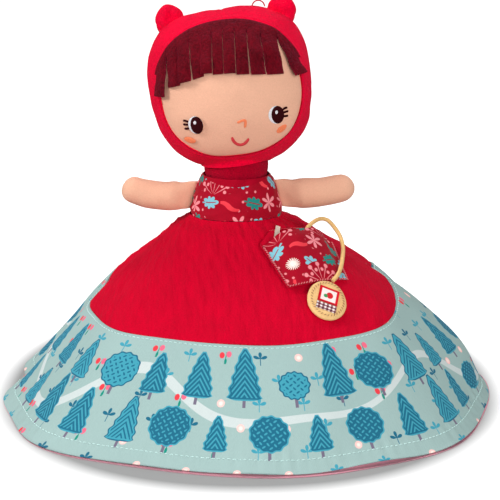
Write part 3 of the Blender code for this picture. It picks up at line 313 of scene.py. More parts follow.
def add_loft(name, rings, cloth, start_pole, end_pole, uv=None):
    """A closed form through rings of points, with a pole at either end."""
    rows, columns = rings.shape[:2]
    if uv is None:
        uv = np.stack(np.meshgrid(np.linspace(0.0, 1.0, columns + 1), np.linspace(0.0, 1.0, rows)),
                      axis=-1)
    quads = grid_quads(rows, columns, True)
    maps = [corner_places(uv)]
    faces = list(quads)
    for ring, pole, row, flip in ((np.arange(columns), rows * columns, 0, True),
                                  ((rows - 1) * columns + np.arange(columns), rows * columns + 1, -1,
                                   False)):
        fan = np.stack([ring, np.roll(ring, -1), np.full(columns, pole)], axis=-1)
        middle = 0.5 * (uv[row, :-1] + uv[row, 1:])
        fan_map = np.stack([uv[row, :-1], uv[row, 1:], middle], axis=1)
        faces += list(fan[:, ::-1] if flip else fan)
        maps.append(fan_map[:, ::-1] if flip else fan_map)
    points = np.concatenate([rings.reshape(-1, 3), [start_pole, end_pole]])
    return add_piece(name, points, faces, cloth, maps)


def ripples(points, length, seed, waves=28):
    """Smooth random height: a sum of plane waves of about one length, in drawn directions."""
    draw = np.random.default_rng(seed)
    heading = draw.normal(size=(waves, 3))
    heading /= np.linalg.norm(heading, axis=1, keepdims=True)
    number = FULL_TURN / length * draw.uniform(0.6, 1.6, (waves, 1))
    phase = draw.uniform(0.0, FULL_TURN, waves)
    return np.cos(points @ (heading * number).T + phase).sum(axis=-1) * math.sqrt(2.0 / waves)


def round_ripples(angle, along, counts, drift, seed, waves=20):
    """Random height round a closed ring: waves of whole counts whose phase drifts down the slope."""
    draw = np.random.default_rng(seed)
    height = 0.0
    for _ in range(waves):
        count = int(draw.integers(*counts))
        shift = draw.uniform(0.0, FULL_TURN) + FULL_TURN * draw.uniform(-drift, drift) * along
        height = height + np.cos(count * np.radians(angle) + shift)
    return height * math.sqrt(2.0 / waves)


def smooth_step(value, low, high):
    """0 below low, 1 above high and an even S curve between."""
    share = np.clip((value - low) / (high - low), 0.0, 1.0)
    return share * share * (3.0 - 2.0 * share)


def smooth_route(points, spacing, steps=24):
    """Evenly spaced points on a smooth curve through the given ones."""
    points = np.asarray(points, float)
    padded = np.concatenate([[2.0 * points[0] - points[1]], points, [2.0 * points[-1] - points[-2]]])
    share = np.linspace(0.0, 1.0, steps, endpoint=False)[None, :, None]
    before, start, end, after = (padded[first:len(padded) - 3 + first, None] for first in range(4))
    fine = 0.5 * (2.0 * start + (end - before) * share
                  + (2.0 * before - 5.0 * start + 4.0 * end - after) * share ** 2
                  + (3.0 * start - before - 3.0 * end + after) * share ** 3)
    fine = np.concatenate([fine.reshape(-1, points.shape[1]), points[-1:]])
    run = np.concatenate([[0.0], np.cumsum(np.linalg.norm(np.diff(fine, axis=0), axis=1))])
    even = np.linspace(0.0, run[-1], max(8, int(round(run[-1] / spacing)) + 1))
    return np.stack([np.interp(even, run, fine[:, axis]) for axis in range(points.shape[1])], axis=-1)


def add_stitches(name, path, normals, pitch, length, radius, thread, body, slot_name, lean=0.0):
    """A row of short threads along a path: each a spindle that lies on the cloth, leaning or not."""
    run = np.concatenate([[0.0], np.cumsum(np.linalg.norm(np.diff(path, axis=0), axis=1))])
    count = max(2, int(run[-1] / pitch))
    middle_run = (np.arange(count) + 0.5) * run[-1] / count
    middle = np.stack([np.interp(middle_run, run, path[:, axis]) for axis in range(3)], axis=-1)
    up = np.stack([np.interp(middle_run, run, normals[:, axis]) for axis in range(3)], axis=-1)
    up /= np.linalg.norm(up, axis=1, keepdims=True)
    ahead = np.stack([np.interp(middle_run + 0.3 * pitch, run, path[:, axis]) for axis in range(3)],
                     axis=-1)
    along = ahead - middle + 1e-9
    along -= up * np.sum(along * up, axis=1, keepdims=True)
    along /= np.linalg.norm(along, axis=1, keepdims=True)
    side = np.cross(up, along)
    heading = along * math.cos(lean) + side * math.sin(lean)
    side = np.cross(up, heading)
    place = np.linspace(-1.0, 1.0, 6)[None, :, None, None]
    turn = np.linspace(0.0, FULL_TURN, 6, endpoint=False)[None, None, :, None]
    thick = radius * np.sqrt(np.clip(1.0 - (0.93 * place) ** 4, 0.0, 1.0))
    rise = radius * (0.7 - 0.9 * place ** 2)
    points = (middle[:, None, None] + heading[:, None, None] * place * 0.5 * length
              + up[:, None, None] * (rise + thick * np.sin(turn)) + side[:, None, None] * thick * np.cos(turn))
    faces = []
    base = grid_quads(6, 6, True)
    for number in range(count):
        shift = number * 36
        faces += list(base + shift) + [np.arange(6)[::-1] + shift, np.arange(30, 36) + shift]
    piece = add_piece(name, points.reshape(-1, 3), faces, thread)
    finish(piece, body, slot_name)
    return piece


def finish(piece, body, slot_name, *nodes):
    """Give a piece its body and the CAD nodes that it stands for; the slot name is not used."""
    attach(piece, body)
    if nodes:
        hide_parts(*nodes)
    return piece


# ---------------------------------------------------------------- materials

class Term:
    """A number that a material's nodes work out, written as plain arithmetic."""

    def __init__(self, tree, socket):
        self.tree = tree
        self.socket = socket

    def work(self, operation, *others, clamp=False):
        """The result of one Math node on this number and others."""
        node = self.tree.nodes.new("ShaderNodeMath")
        node.operation = operation
        node.use_clamp = clamp
        for place, value in enumerate((self, *others)):
            if isinstance(value, Term):
                self.tree.links.new(value.socket, node.inputs[place])
            else:
                node.inputs[place].default_value = value
        return Term(self.tree, node.outputs[0])

    def __add__(self, other):
        return self.work("ADD", other)

    def __sub__(self, other):
        return self.work("SUBTRACT", other)

    def __mul__(self, other):
        return self.work("MULTIPLY", other)

    def __truediv__(self, other):
        return self.work("DIVIDE", other)

    def __neg__(self):
        return self * -1.0

    def __abs__(self):
        return self.work("ABSOLUTE")

    __radd__ = __add__
    __rmul__ = __mul__

    def sine(self):
        return self.work("SINE")

    def cosine(self):
        return self.work("COSINE")

    def floor(self):
        return self.work("FLOOR")

    def fraction(self):
        return self.work("FRACT")

    def least(self, other):
        return self.work("MINIMUM", other)

    def most(self, other):
        return self.work("MAXIMUM", other)

    def power(self, other):
        return self.work("POWER", other)

    def over(self, limit):
        """1 where this number is greater than the limit."""
        return self.work("GREATER_THAN", limit)

    def bearing(self, up):
        """Angle from straight up of a place whose number across this is."""
        return self.work("ARCTAN2", up)

    def remainder(self, size):
        """What is left of this number above the last whole multiple of the size."""
        return self.work("FLOORED_MODULO", size)

    def other(self):
        """1 where this mask is 0, and 0 where it is 1."""
        return self * -1.0 + 1.0

    def inside(self, soft=0.25):
        """1 where this distance is negative, fading to 0 over a soft edge."""
        return self.work("MULTIPLY_ADD", -1.0 / soft, 0.5, clamp=True)


def distance(across, up):
    """Distance from the middle: the root of the sum of squares."""
    return (across * across + up * up).work("SQRT")


def separate(tree, socket, kind="ShaderNodeSeparateXYZ"):
    """The three numbers of a vector or a colour."""
    node = tree.nodes.new(kind)
    tree.links.new(socket, node.inputs[0])
    return [Term(tree, output) for output in node.outputs[:3]]


def drawn(tree, first, second, seed):
    """Three drawn numbers from 0 to 1 for each cell of a pattern."""
    place = tree.nodes.new("ShaderNodeCombineXYZ")
    for number, value in enumerate((first, second)):
        tree.links.new(value.socket, place.inputs[number])
    place.inputs[2].default_value = seed
    noise = tree.nodes.new("ShaderNodeTexWhiteNoise")
    noise.noise_dimensions = "3D"
    tree.links.new(place.outputs[0], noise.inputs["Vector"])
    return separate(tree, noise.outputs["Color"], "ShaderNodeSeparateColor")


def paint(tree, below, ink, mask):
    """Lay one ink, a colour or a socket, over the colour below wherever the mask is 1."""
    mix = tree.nodes.new("ShaderNodeMix")
    mix.data_type = "RGBA"
    for place, value in ((6, below), (7, ink)):
        if hasattr(value, "is_output"):
            tree.links.new(value, mix.inputs[place])
        else:
            mix.inputs[place].default_value = (*value, 1.0)
    tree.links.new(mask.socket, mix.inputs[0])
    return mix.outputs[2]


def tint(red, green, blue):
    """A colour as the shader wants it, from the 0 to 255 values that the eye reads."""
    return tuple((value / 255.0 / 12.92) if value <= 10 else ((value / 255.0 + 0.055) / 1.055) ** 2.4
                 for value in (red, green, blue))


def new_group(name, inputs, outputs):
    """An empty node group with named inputs and outputs, its tree and its two end nodes."""
    tree = bpy.data.node_groups.new(name, "ShaderNodeTree")
    for label, kind, start in inputs:
        socket = tree.interface.new_socket(label, in_out="INPUT", socket_type=kind)
        if start is not None:
            socket.default_value = start
    for label, kind in outputs:
        tree.interface.new_socket(label, in_out="OUTPUT", socket_type=kind)
    return tree, tree.nodes.new("NodeGroupInput"), tree.nodes.new("NodeGroupOutput")


def noise_term(tree, vector, scale, detail=2.0, roughness=0.55):
    """Smooth noise from 0 to 1 at one scale; scale is a number or a term."""
    noise = tree.nodes.new("ShaderNodeTexNoise")
    tree.links.new(vector, noise.inputs["Vector"])
    if isinstance(scale, Term):
        tree.links.new(scale.socket, noise.inputs["Scale"])
    else:
        noise.inputs["Scale"].default_value = scale
    noise.inputs["Detail"].default_value = detail
    noise.inputs["Roughness"].default_value = roughness
    return Term(tree, noise.outputs["Fac"])


CLOTH_INPUTS = (("Vector", "NodeSocketVector", None), ("Pitch", "NodeSocketFloat", 0.001),
                ("Patches", "NodeSocketFloat", 0.02))
CLOTH_OUTPUTS = (("Shade", "NodeSocketFloat"), ("Height", "NodeSocketFloat"))


def spread(term, gain):
    """Widen a noise's middle values towards 0 and 1."""
    return ((term - 0.5) * gain + 0.5).work("MAXIMUM", 0.0).work("MINIMUM", 1.0)


def pile_group():
    """Brushed pile: fine tufts at the pitch, thinner in soft patches."""
    tree, start, end = new_group("pile", CLOTH_INPUTS, CLOTH_OUTPUTS)
    vector = start.outputs["Vector"]
    scale = Term(tree, start.outputs["Pitch"]).work("POWER", -1.0)
    tufts = spread(noise_term(tree, vector, scale, 3.0, 0.6), 2.6)
    fine = spread(noise_term(tree, vector, scale * 2.7, 2.0, 0.6), 2.0)
    patches = noise_term(tree, vector, Term(tree, start.outputs["Patches"]).work("POWER", -1.0), 3.0)
    tree.links.new((tufts * 0.42 + fine * 0.25 + spread(patches, 2.0) * 0.33).socket,
                   end.inputs["Shade"])
    tree.links.new((tufts * 0.6 + fine * 0.4).socket, end.inputs["Height"])
    return tree


def weave_group():
    """Plain weave: two sets of threads, each over and under the other, with slubs and worn patches."""
    tree, start, end = new_group("weave", CLOTH_INPUTS, CLOTH_OUTPUTS)
    vector = start.outputs["Vector"]
    pitch = Term(tree, start.outputs["Pitch"])
    across, deep, up = separate(tree, vector)
    warp = ((across + deep * 0.6) * math.pi / pitch).sine()
    weft = ((up + deep * 0.4) * math.pi / pitch).sine()
    slub = spread(noise_term(tree, vector, pitch.work("POWER", -1.0) * 0.5, 3.0), 2.0)
    patches = spread(noise_term(tree, vector, Term(tree, start.outputs["Patches"]).work("POWER", -1.0),
                                3.0), 2.0)
    cross = warp * weft
    tree.links.new((cross * 0.16 + slub * 0.45 + patches * 0.55).socket, end.inputs["Shade"])
    tree.links.new((cross * 0.35 + slub * 0.7).socket, end.inputs["Height"])
    return tree


def knit_group():
    """Fine knit: rows of small loops, with a soft brushed nap."""
    tree, start, end = new_group("knit", CLOTH_INPUTS, CLOTH_OUTPUTS)
    vector = start.outputs["Vector"]
    pitch = Term(tree, start.outputs["Pitch"])
    across, deep, up = separate(tree, vector)
    wale = ((across + deep * 0.35) * FULL_TURN / pitch).sine()
    course = ((up - deep * 0.35 + abs(wale) * pitch * 0.22) * FULL_TURN / (pitch * 0.8)).sine()
    nap = spread(noise_term(tree, vector, pitch.work("POWER", -1.0) * 1.3, 3.0, 0.6), 2.4)
    patches = spread(noise_term(tree, vector, Term(tree, start.outputs["Patches"]).work("POWER", -1.0),
                                2.0), 2.0)
    tree.links.new((nap * 0.5 + patches * 0.5 + course * wale * 0.08).socket, end.inputs["Shade"])
    tree.links.new((wale * course * 0.22 + nap * 0.8).socket, end.inputs["Height"])
    return tree


def crinkle_group():
    """Crinkled velour: short irregular ribs down the cloth under a short pile."""
    tree, start, end = new_group("crinkle", CLOTH_INPUTS, CLOTH_OUTPUTS)
    vector = start.outputs["Vector"]
    pitch = Term(tree, start.outputs["Pitch"])
    across, down, _ = separate(tree, vector)
    stretched = tree.nodes.new("ShaderNodeCombineXYZ")
    tree.links.new((across / pitch).socket, stretched.inputs[0])
    tree.links.new((down / (pitch * 4.5)).socket, stretched.inputs[1])
    ribs = spread(noise_term(tree, stretched.outputs[0], 1.0, 3.0, 0.5), 2.2)
    pile = spread(noise_term(tree, vector, pitch.work("POWER", -1.0) * 3.6, 3.0, 0.6), 2.4)
    patches = spread(noise_term(tree, vector, Term(tree, start.outputs["Patches"]).work("POWER", -1.0),
                                3.0), 2.0)
    tree.links.new((ribs * 0.4 + pile * 0.35 + patches * 0.25).socket, end.inputs["Shade"])
    tree.links.new((ribs * 0.7 + pile * 0.3).socket, end.inputs["Height"])
    return tree


GROUPS = {"pile": pile_group(), "weave": weave_group(), "knit": knit_group(),
          "crinkle": crinkle_group()}


def cloth_material(name, colour, group, pitch, patches=0.02, roughness=0.85, sheen=0.3, contrast=0.22,
                   relief=0.5, depth=0.0006, use_map=False, sheen_tint=None, pattern=None,
                   edge_ink=None, collar=None, gloss=0.06):
    """A cloth: its surface from one group, its colour plain or from a printed pattern."""
    made = bpy.data.materials.new(name)
    made.use_nodes = True
    tree = made.node_tree
    shader = tree.nodes["Principled BSDF"]
    place = tree.nodes.new("ShaderNodeTexCoord")
    vector = place.outputs["UV" if use_map else "Object"]
    surface = tree.nodes.new("ShaderNodeGroup")
    surface.node_tree = GROUPS[group]
    tree.links.new(vector, surface.inputs["Vector"])
    surface.inputs["Pitch"].default_value = pitch
    surface.inputs["Patches"].default_value = patches
    shade = Term(tree, surface.outputs["Shade"])
    ground = colour
    if pattern is not None:
        printed = tree.nodes.new("ShaderNodeGroup")
        printed.node_tree = pattern
        tree.links.new(place.outputs["UV"], printed.inputs["Vector"])
        ground = printed.outputs["Colour"]
    if edge_ink is not None:
        edge = separate(tree, place.outputs["UV"])[0]
        ground = paint(tree, ground, edge_ink, (edge * 1000.0 - 0.45).inside(0.5))
    if collar is not None:
        # Plain collar over the print, lowest at the middle of the front; its red is darkened, painted shade
        # under the hood
        side, _, rise = separate(tree, place.outputs["Object"])
        side = (side - BODY_SHIFT) / COLLAR_SPREAD
        ground = paint(tree, ground, collar,
                       ((rise * -1.0 + COLLAR_HEIGHT + side * side * COLLAR_RISE) * 1000.0).inside(0.4))
    light = tree.nodes.new("ShaderNodeMix")
    light.data_type = "RGBA"
    light.blend_type = "MULTIPLY"
    light.inputs[0].default_value = 1.0
    if hasattr(ground, "is_output"):
        tree.links.new(ground, light.inputs[6])
    else:
        light.inputs[6].default_value = (*ground, 1.0)
    grey = tree.nodes.new("ShaderNodeCombineColor")
    level = shade * (2.0 * contrast) + (1.0 - contrast)
    for channel in range(3):
        tree.links.new(level.socket, grey.inputs[channel])
    tree.links.new(grey.outputs[0], light.inputs[7])
    tree.links.new(light.outputs[2], shader.inputs["Base Color"])
    tree.links.new((shade * 0.2 + (roughness - 0.1)).socket, shader.inputs["Roughness"])
    shader.inputs["Sheen Weight"].default_value = sheen
    shader.inputs["Sheen Roughness"].default_value = 0.45
    shader.inputs["Sheen Tint"].default_value = (*(sheen_tint or (1.0, 1.0, 1.0)), 1.0)
    shader.inputs["Specular IOR Level"].default_value = gloss
    bump = tree.nodes.new("ShaderNodeBump")
    bump.inputs["Strength"].default_value = relief
    bump.inputs["Distance"].default_value = depth
    tree.links.new(surface.outputs["Height"], bump.inputs["Height"])
    tree.links.new(bump.outputs[0], shader.inputs["Normal"])
    return made


def thread_material(name, colour, pitch=0.00055, lean=0.0, roughness=0.6, gloss=0.2):
    """Satin stitch: parallel threads at a pitch, each with its own shade and a soft shine."""
    made = bpy.data.materials.new(name)
    made.use_nodes = True
    tree = made.node_tree
    shader = tree.nodes["Principled BSDF"]
    place = tree.nodes.new("ShaderNodeTexCoord")
    across, deep, up = separate(tree, place.outputs["Object"])
    line = across * math.cos(lean) + up * math.sin(lean) + deep * 0.2
    ridge = (line * FULL_TURN / pitch).sine()
    fuzz = noise_term(tree, place.outputs["Object"], 1400.0, 3.0)
    level = ridge * 0.14 + fuzz * 0.5 + 0.72
    mixed = tree.nodes.new("ShaderNodeCombineColor")
    for channel, value in enumerate(colour):
        tree.links.new((level * value).socket, mixed.inputs[channel])
    tree.links.new(mixed.outputs[0], shader.inputs["Base Color"])
    tree.links.new((fuzz * 0.3 + (roughness - 0.15)).socket, shader.inputs["Roughness"])
    shader.inputs["Specular IOR Level"].default_value = gloss
    bump = tree.nodes.new("ShaderNodeBump")
    bump.inputs["Strength"].default_value = 0.55
    bump.inputs["Distance"].default_value = 0.0003
    tree.links.new((ridge * 0.5 + fuzz).socket, bump.inputs["Height"])
    tree.links.new(bump.outputs[0], shader.inputs["Normal"])
    return made


# Band print, in millimetres
TALL_ROW = 64.0
SMALL_ROW = 15.5
HEM_ROUND = 1165.0
ROUND_LESS = 4.7

AQUA = tint(153, 179, 176)
PALE_AQUA = tint(196, 206, 205)
MID_TEAL = tint(64, 152, 172)
DARK_TEAL = tint(32, 102, 128)
STEM_GREY = tint(112, 104, 124)
CORAL = tint(226, 62, 72)
ROSE = tint(232, 104, 130)
LEAF_GREEN = tint(26, 138, 122)
PALE_PINK = tint(250, 196, 190)
CREAM = tint(246, 232, 222)


def new_print(name):
    """A printed cloth's node group: its tree, its last node, and its numbers across and up."""
    tree, start, end = new_group(name, (("Vector", "NodeSocketVector", None),),
                                 (("Colour", "NodeSocketColor"),))
    return tree, end, *separate(tree, start.outputs["Vector"])[:2]


def band_print():
    """Rows of upright leaves and round leafy heads with small sprigs, bells and dots between.

    The map's first number runs once round the skirt and the second is the height above the hem.
    """
    tree, end, around, height = new_print("band_print")
    up = height * 1000.0
    girth = up * -ROUND_LESS + HEM_ROUND
    # A pale ribbon that wanders under the motifs
    middle = (around * FULL_TURN * 5.0 + 0.7).sine() * 15.0 + (around * FULL_TURN * 8.0).sine() * 8.0 + 44.0
    ribbon = (abs(up - middle) - 3.1 - (around * FULL_TURN * 3.0).sine() * 0.9).inside(0.4)
    colour = paint(tree, AQUA, PALE_AQUA, ribbon)

    def cell(base, row_height, cells, shift, seed):
        """Places from the foot of the nearest motif, and its drawn numbers."""
        row = ((up - base) / row_height).floor()
        rise = up - base - row * row_height
        place = around * cells + row * 0.5 + shift
        number = place.floor().remainder(cells)
        across = (place.fraction() - 0.5) * girth / cells
        one, two, three = drawn(tree, number, row, seed)
        return across + (one - 0.5) * 4.0, rise, one, two, three

    # Small motifs: a sprig, a pair of bells or a pale dot
    across, rise, one, two, three = cell(9.5, SMALL_ROW, 34.0, 0.25, 11.0)
    rise = rise - 1.6
    stalk = distance(across, rise - 4.4)
    turn = across.bearing(rise - 4.4)
    fan = stalk - abs((turn * 2.6).cosine()).power(0.8) * (abs(turn) * -1.0).over(-1.7) * 4.8
    sprig = fan.most(abs(across) * 0.5 - rise).least((abs(across) - 0.28).most(abs(rise - 2.2) - 2.4))
    is_sprig = one.over(0.46)
    is_dot = (one * -1.0).over(-0.22)
    is_bells = (is_sprig + is_dot).other()
    colour = paint(tree, colour, paint(tree, DARK_TEAL, MID_TEAL, two.over(0.5)), sprig.inside() * is_sprig)
    green = distance(across * 1.7 - 0.9, (rise - 1.9) * 0.75) - 1.5
    line = (abs(across - rise * 0.12) - 0.3).most(abs(rise - 4.2) - 4.2)
    colour = paint(tree, colour, LEAF_GREEN, green.least(line).inside() * is_bells)
    left = distance(across + 2.1, (rise - 6.0) * 0.8) - 1.75
    right = distance(across - 2.5, (rise - 6.9) * 0.8) - 1.75
    colour = paint(tree, colour, CORAL, left.inside() * is_bells)
    colour = paint(tree, colour, ROSE, right.inside() * is_bells)
    spot = distance(across, rise - 4.5)
    colour = paint(tree, colour, PALE_PINK, (spot - 2.6).inside(0.5) * is_dot)
    colour = paint(tree, colour, CREAM, (spot - 1.2).inside(1.2) * is_dot)

    # Large motifs in two rows that interlock: an upright leaf with chevron veins, or a leafy ball
    for base, cells, shift, seed, ball_limit in ((44.0, 29.0, 0.1, 7.0, 0.52), (10.0, 31.0, 0.6, 3.0, 0.66)):
        across, rise, one, two, three = cell(base, TALL_ROW, cells, shift, seed)
        only = (abs(up - (base + 0.5 * TALL_ROW)) * -1.0).over(-0.5 * TALL_ROW)
        tall = two * 16.0 + 24.0
        body = rise - 5.0
        share = body / tall
        tiers = (share * (FULL_TURN * 5.0) + 0.9).sine() * 0.075 + 1.0
        foot = ((body + 0.5) / 2.4).most(0.0).least(1.0).power(0.5)
        half = (share * -1.0 + 1.0).most(0.0).power(0.62) * tiers * foot * (tall * 0.24 + 3.2)
        leaf = (abs(across) - half).most(-body).most(body - tall + 0.8)
        radius = two * 5.0 + 8.6
        centre = rise - 5.6 - radius
        wide = across * 0.9
        bearing = across.bearing(centre)
        head = distance(wide, centre) - radius - (bearing * 13.0).sine() * 0.4
        is_head = three.over(ball_limit)
        shape = head * is_head + leaf * is_head.other()
        stem = (abs(across) - 1.05).most(rise - 9.0).most(-rise + 0.4)
        colour = paint(tree, colour, STEM_GREY, stem.inside() * only)
        dark = one.over(0.42)
        body_ink = paint(tree, MID_TEAL, DARK_TEAL, dark)
        vein_ink = paint(tree, DARK_TEAL, MID_TEAL, dark)
        colour = paint(tree, colour, vein_ink, shape.inside() * only)
        colour = paint(tree, colour, body_ink, (shape + 0.95).inside() * only)
        chevron = ((body + abs(across) * 1.35) * (FULL_TURN / 4.0)).sine()
        veins = (chevron * -1.0 + 0.25).inside(0.4)
        first, second = wide * 0.8 + centre * 0.6, centre * 0.8 - wide * 0.6
        first, second = first / 3.1, second / 3.1
        swap_sides = (first.floor() + second.floor()).remainder(2.0)
        in_first, in_second = first.fraction() - 0.5, second.fraction() - 0.5
        long_way = in_first * swap_sides + in_second * swap_sides.other()
        short_way = in_second * swap_sides + in_first * swap_sides.other()
        speckle = (distance(long_way, short_way * 2.2) - 0.40).inside(0.12)
        colour = paint(tree, colour, vein_ink,
                       (veins * is_head.other() + speckle * is_head) * (shape + 2.0).inside() * only)
    tree.links.new(colour, end.inputs["Colour"])
    return tree


DEEP_RED = tint(160, 8, 34)
BERRY_PINK = tint(238, 142, 150)
POWDER_BLUE = tint(128, 192, 206)
SEA_GREEN = tint(36, 134, 126)
BRIGHT_CORAL = tint(232, 62, 74)
SCATTER_SCALE = 1.6
SCATTER_CELL = 9.4
DOT_CELL = 4.1
SPRAY_CELL = 23.0
SPRAY_SPACING = 0.52


def scatter_print():
    """Turned leaves, flower heads and strokes, one in each cell, with dots between; map in metres."""
    tree, end, across_all, up_all = new_print("scatter_print")
    across_all, up_all = across_all / SCATTER_SCALE, up_all / SCATTER_SCALE

    def cell(size, slip, seed):
        """Places from a cell's middle, and its drawn numbers; each row slips along the last."""
        row = (up_all * 1000.0 / size).floor()
        place = across_all * 1000.0 / size + row * slip
        one, two, three = drawn(tree, place.floor(), row, seed)
        return ((place.fraction() - 0.5) * size, ((up_all * 1000.0 / size).fraction() - 0.5) * size,
                one, two, three)

    across, up, one, two, three = cell(DOT_CELL, 0.5, 5.0)
    dot = distance(across - (two - 0.5) * 1.2, up - (three - 0.5) * 1.2) - 0.55
    colour = paint(tree, DEEP_RED, BERRY_PINK, dot.inside() * one.over(0.50))
    across, up, one, two, three = cell(SCATTER_CELL, 0.37, 9.0)
    across, up = across - (two - 0.5) * 2.0, up - (three - 0.5) * 2.0
    lean = three * FULL_TURN
    right = across * lean.cosine() + up * lean.sine()
    ahead = up * lean.cosine() - across * lean.sine()
    clear = (distance(across, up) - 4.6).inside()
    colour = paint(tree, colour, DEEP_RED, clear)
    bearing = right.bearing(ahead)
    lobes = abs((bearing * 3.5).cosine()).power(0.8) * 1.5 + 2.0
    leaf_stalk = (abs(right) - 0.3).most(abs(ahead + 3.4) - 1.4)
    leaf = (distance(right * 1.25, ahead * 0.86) - lobes).least(leaf_stalk)
    vein = (abs(right) - 0.2).most(ahead - 2.8).most(-ahead - 2.6)
    spikes = distance(right, ahead) - abs((bearing * 9.5).sine()) * 2.0 - 0.9
    stroke = (abs(right - (ahead * 0.6).sine() * 0.7) - 1.25 + abs(ahead) * 0.16).most(abs(ahead) - 4.6)
    sprig = (distance(right, ahead + 1.0)
             - abs((right.bearing(ahead + 1.0) * 3.0).cosine()).power(1.2) * 4.2)
    is_leaf = (one * -1.0).over(-0.44)
    is_stroke = one.over(0.72)
    is_spikes = one.over(0.66) * is_stroke.other()
    is_sprig = (is_leaf + is_stroke + is_spikes).other()
    leaf_ink = paint(tree, POWDER_BLUE, SEA_GREEN, two.over(0.5))
    colour = paint(tree, colour, leaf_ink, leaf.inside() * is_leaf)
    colour = paint(tree, colour, DEEP_RED, vein.inside() * leaf.inside() * is_leaf)
    sprig_ink = paint(tree, BERRY_PINK, SEA_GREEN, two.over(0.75))
    colour = paint(tree, colour, sprig_ink, sprig.inside() * is_sprig)
    colour = paint(tree, colour, CREAM, spikes.inside() * is_spikes)
    colour = paint(tree, colour, BRIGHT_CORAL, stroke.inside() * is_stroke)
    # A spray of berries on thin stalks here and there
    across, up, one, two, three = cell(SPRAY_CELL, 0.5, 21.0)
    up = up + 3.0
    bearing = across.bearing(up)
    reach = distance(across, up)
    fanned = (abs(bearing) * -1.0).over(-1.45)
    spoke = (bearing * (FULL_TURN / SPRAY_SPACING)).cosine()
    stalk = (spoke * -0.55 + 0.5).inside(0.12) * (reach * -1.0).over(-7.2) * reach.over(0.8)
    berry = distance(reach - 8.1, ((bearing / SPRAY_SPACING + 0.5).fraction() - 0.5) * 4.2) - 0.95
    inner_berry = distance(reach - 5.9, ((bearing / SPRAY_SPACING).fraction() - 0.5) * 3.1) - 0.75
    picked = one.over(0.38) * fanned
    colour = paint(tree, colour, DEEP_RED, (reach - 9.4).inside() * picked)
    colour = paint(tree, colour, BERRY_PINK, (stalk.most(berry.least(inner_berry).inside())) * picked)
    tree.links.new(colour, end.inputs["Colour"])
    return tree


def patch_print():
    """Red frame round a cream square with a plain berry and its leaf; map in millimetres."""
    tree, end, across, up = new_print("patch_print")
    square = abs(across).most(abs(up))
    colour = paint(tree, tint(206, 20, 38), tint(244, 226, 222), (square - 4.5).inside(0.3))
    berry = distance(across * 0.95 - 0.6, up * 0.8 - 0.2) - 1.9
    leaf = distance(across * 1.1 + 1.9, up + 0.8) - 1.35
    colour = paint(tree, colour, tint(208, 40, 46), berry.inside(0.3))
    colour = paint(tree, colour, tint(62, 140, 84), leaf.inside(0.3))
    tree.links.new(colour, end.inputs["Colour"])
    return tree


def gingham_print():
    """Brown and white checks: stripes both ways, darkest where they cross; map in millimetres."""
    tree, end, across, up = new_print("gingham_print")
    down_stripe = (across * (math.pi / 1.25)).sine().over(0.0)
    cross_stripe = (up * (math.pi / 1.25)).sine().over(0.0)
    colour = paint(tree, tint(240, 232, 230), tint(150, 108, 112), down_stripe.most(cross_stripe))
    colour = paint(tree, colour, tint(84, 40, 52), down_stripe * cross_stripe)
    tree.links.new(colour, end.inputs["Colour"])
    return tree


HOOD_RED = tint(234, 0, 50)
# The collar's own plain red, darkened as painted shade under the hood
SHADED_COLLAR_RED = tint(158, 0, 31)
SKIRT_RED = tint(196, 0, 38)
SKIN = tint(231, 177, 149)
RED_SHEEN = (1.0, 0.12, 0.25)

VELOUR = cloth_material("crinkled_velour", SKIRT_RED, "crinkle", 0.0042, 0.03, 0.9, 0.06, 0.24, 0.75,
                        0.0011, use_map=True, sheen_tint=RED_SHEEN)
POUCH_VELOUR = cloth_material("pouch_velour", SKIRT_RED, "pile", 0.0012, 0.02, 0.85, 0.15, 0.2, 0.5,
                              0.0005, sheen_tint=RED_SHEEN)
FLEECE = cloth_material("red_fleece", HOOD_RED, "pile", 0.0015, 0.022, 0.9, 0.16, 0.3, 0.9, 0.0009,
                        sheen_tint=RED_SHEEN)
# The neck's fleece is the hood's red darkened: painted shade of the hood over the neck
SHADED_NECK_FLEECE = cloth_material("neck_fleece_painted_shade", tint(168, 0, 34), "pile", 0.0015, 0.022, 0.9, 0.1, 0.3, 0.9,
                             0.0009, sheen_tint=RED_SHEEN)
BAND_COTTON = cloth_material("band_cotton", AQUA, "weave", 0.0007, 0.05, 0.8, 0.06, 0.05, 0.35, 0.0003,
                             pattern=band_print())
SCATTER = scatter_print()
BODICE_COTTON = cloth_material("bodice_cotton", DEEP_RED, "weave", 0.0006, 0.02, 0.78, 0.05, 0.08, 0.35,
                               0.0003, pattern=SCATTER, collar=SHADED_COLLAR_RED)
POUCH_COTTON = cloth_material("pouch_cotton", DEEP_RED, "weave", 0.0006, 0.02, 0.78, 0.05, 0.08, 0.35,
                              0.0003, pattern=SCATTER)
LINING_COTTON = cloth_material("lining_cotton", tint(238, 160, 178), "weave", 0.0007, 0.03, 0.8, 0.1,
                               0.09, 0.4, 0.0003)
SKIN_JERSEY = cloth_material("skin_jersey", SKIN, "knit", 0.0012, 0.03, 0.85, 0.15, 0.09, 0.6, 0.0004,
                             sheen_tint=(1.0, 0.8, 0.7))
FRINGE_FLEECE = cloth_material("maroon_fleece", tint(100, 6, 20), "pile", 0.0017, 0.012, 0.92, 0.14,
                               0.85, 1.0, 0.0012, sheen_tint=(1.0, 0.15, 0.3), edge_ink=tint(124, 12, 32))
PINK_COTTON = cloth_material("pink_cotton", tint(226, 150, 168), "weave", 0.0006, 0.02, 0.8, 0.1, 0.08,
                             0.35, 0.0003)
CAP_COTTON = cloth_material("cap_cotton", tint(236, 190, 194), "weave", 0.0007, 0.02, 0.8, 0.1, 0.08,
                            0.4, 0.0004)
CREAM_RIBBON = cloth_material("cream_ribbon", tint(226, 208, 192), "weave", 0.0005, 0.01, 0.7, 0.05,
                              0.14, 0.5, 0.0003)
TAN_FELT = cloth_material("tan_felt", tint(232, 190, 130), "pile", 0.0009, 0.008, 0.9, 0.15, 0.2, 0.6,
                          0.0004, sheen_tint=(1.0, 0.85, 0.6))
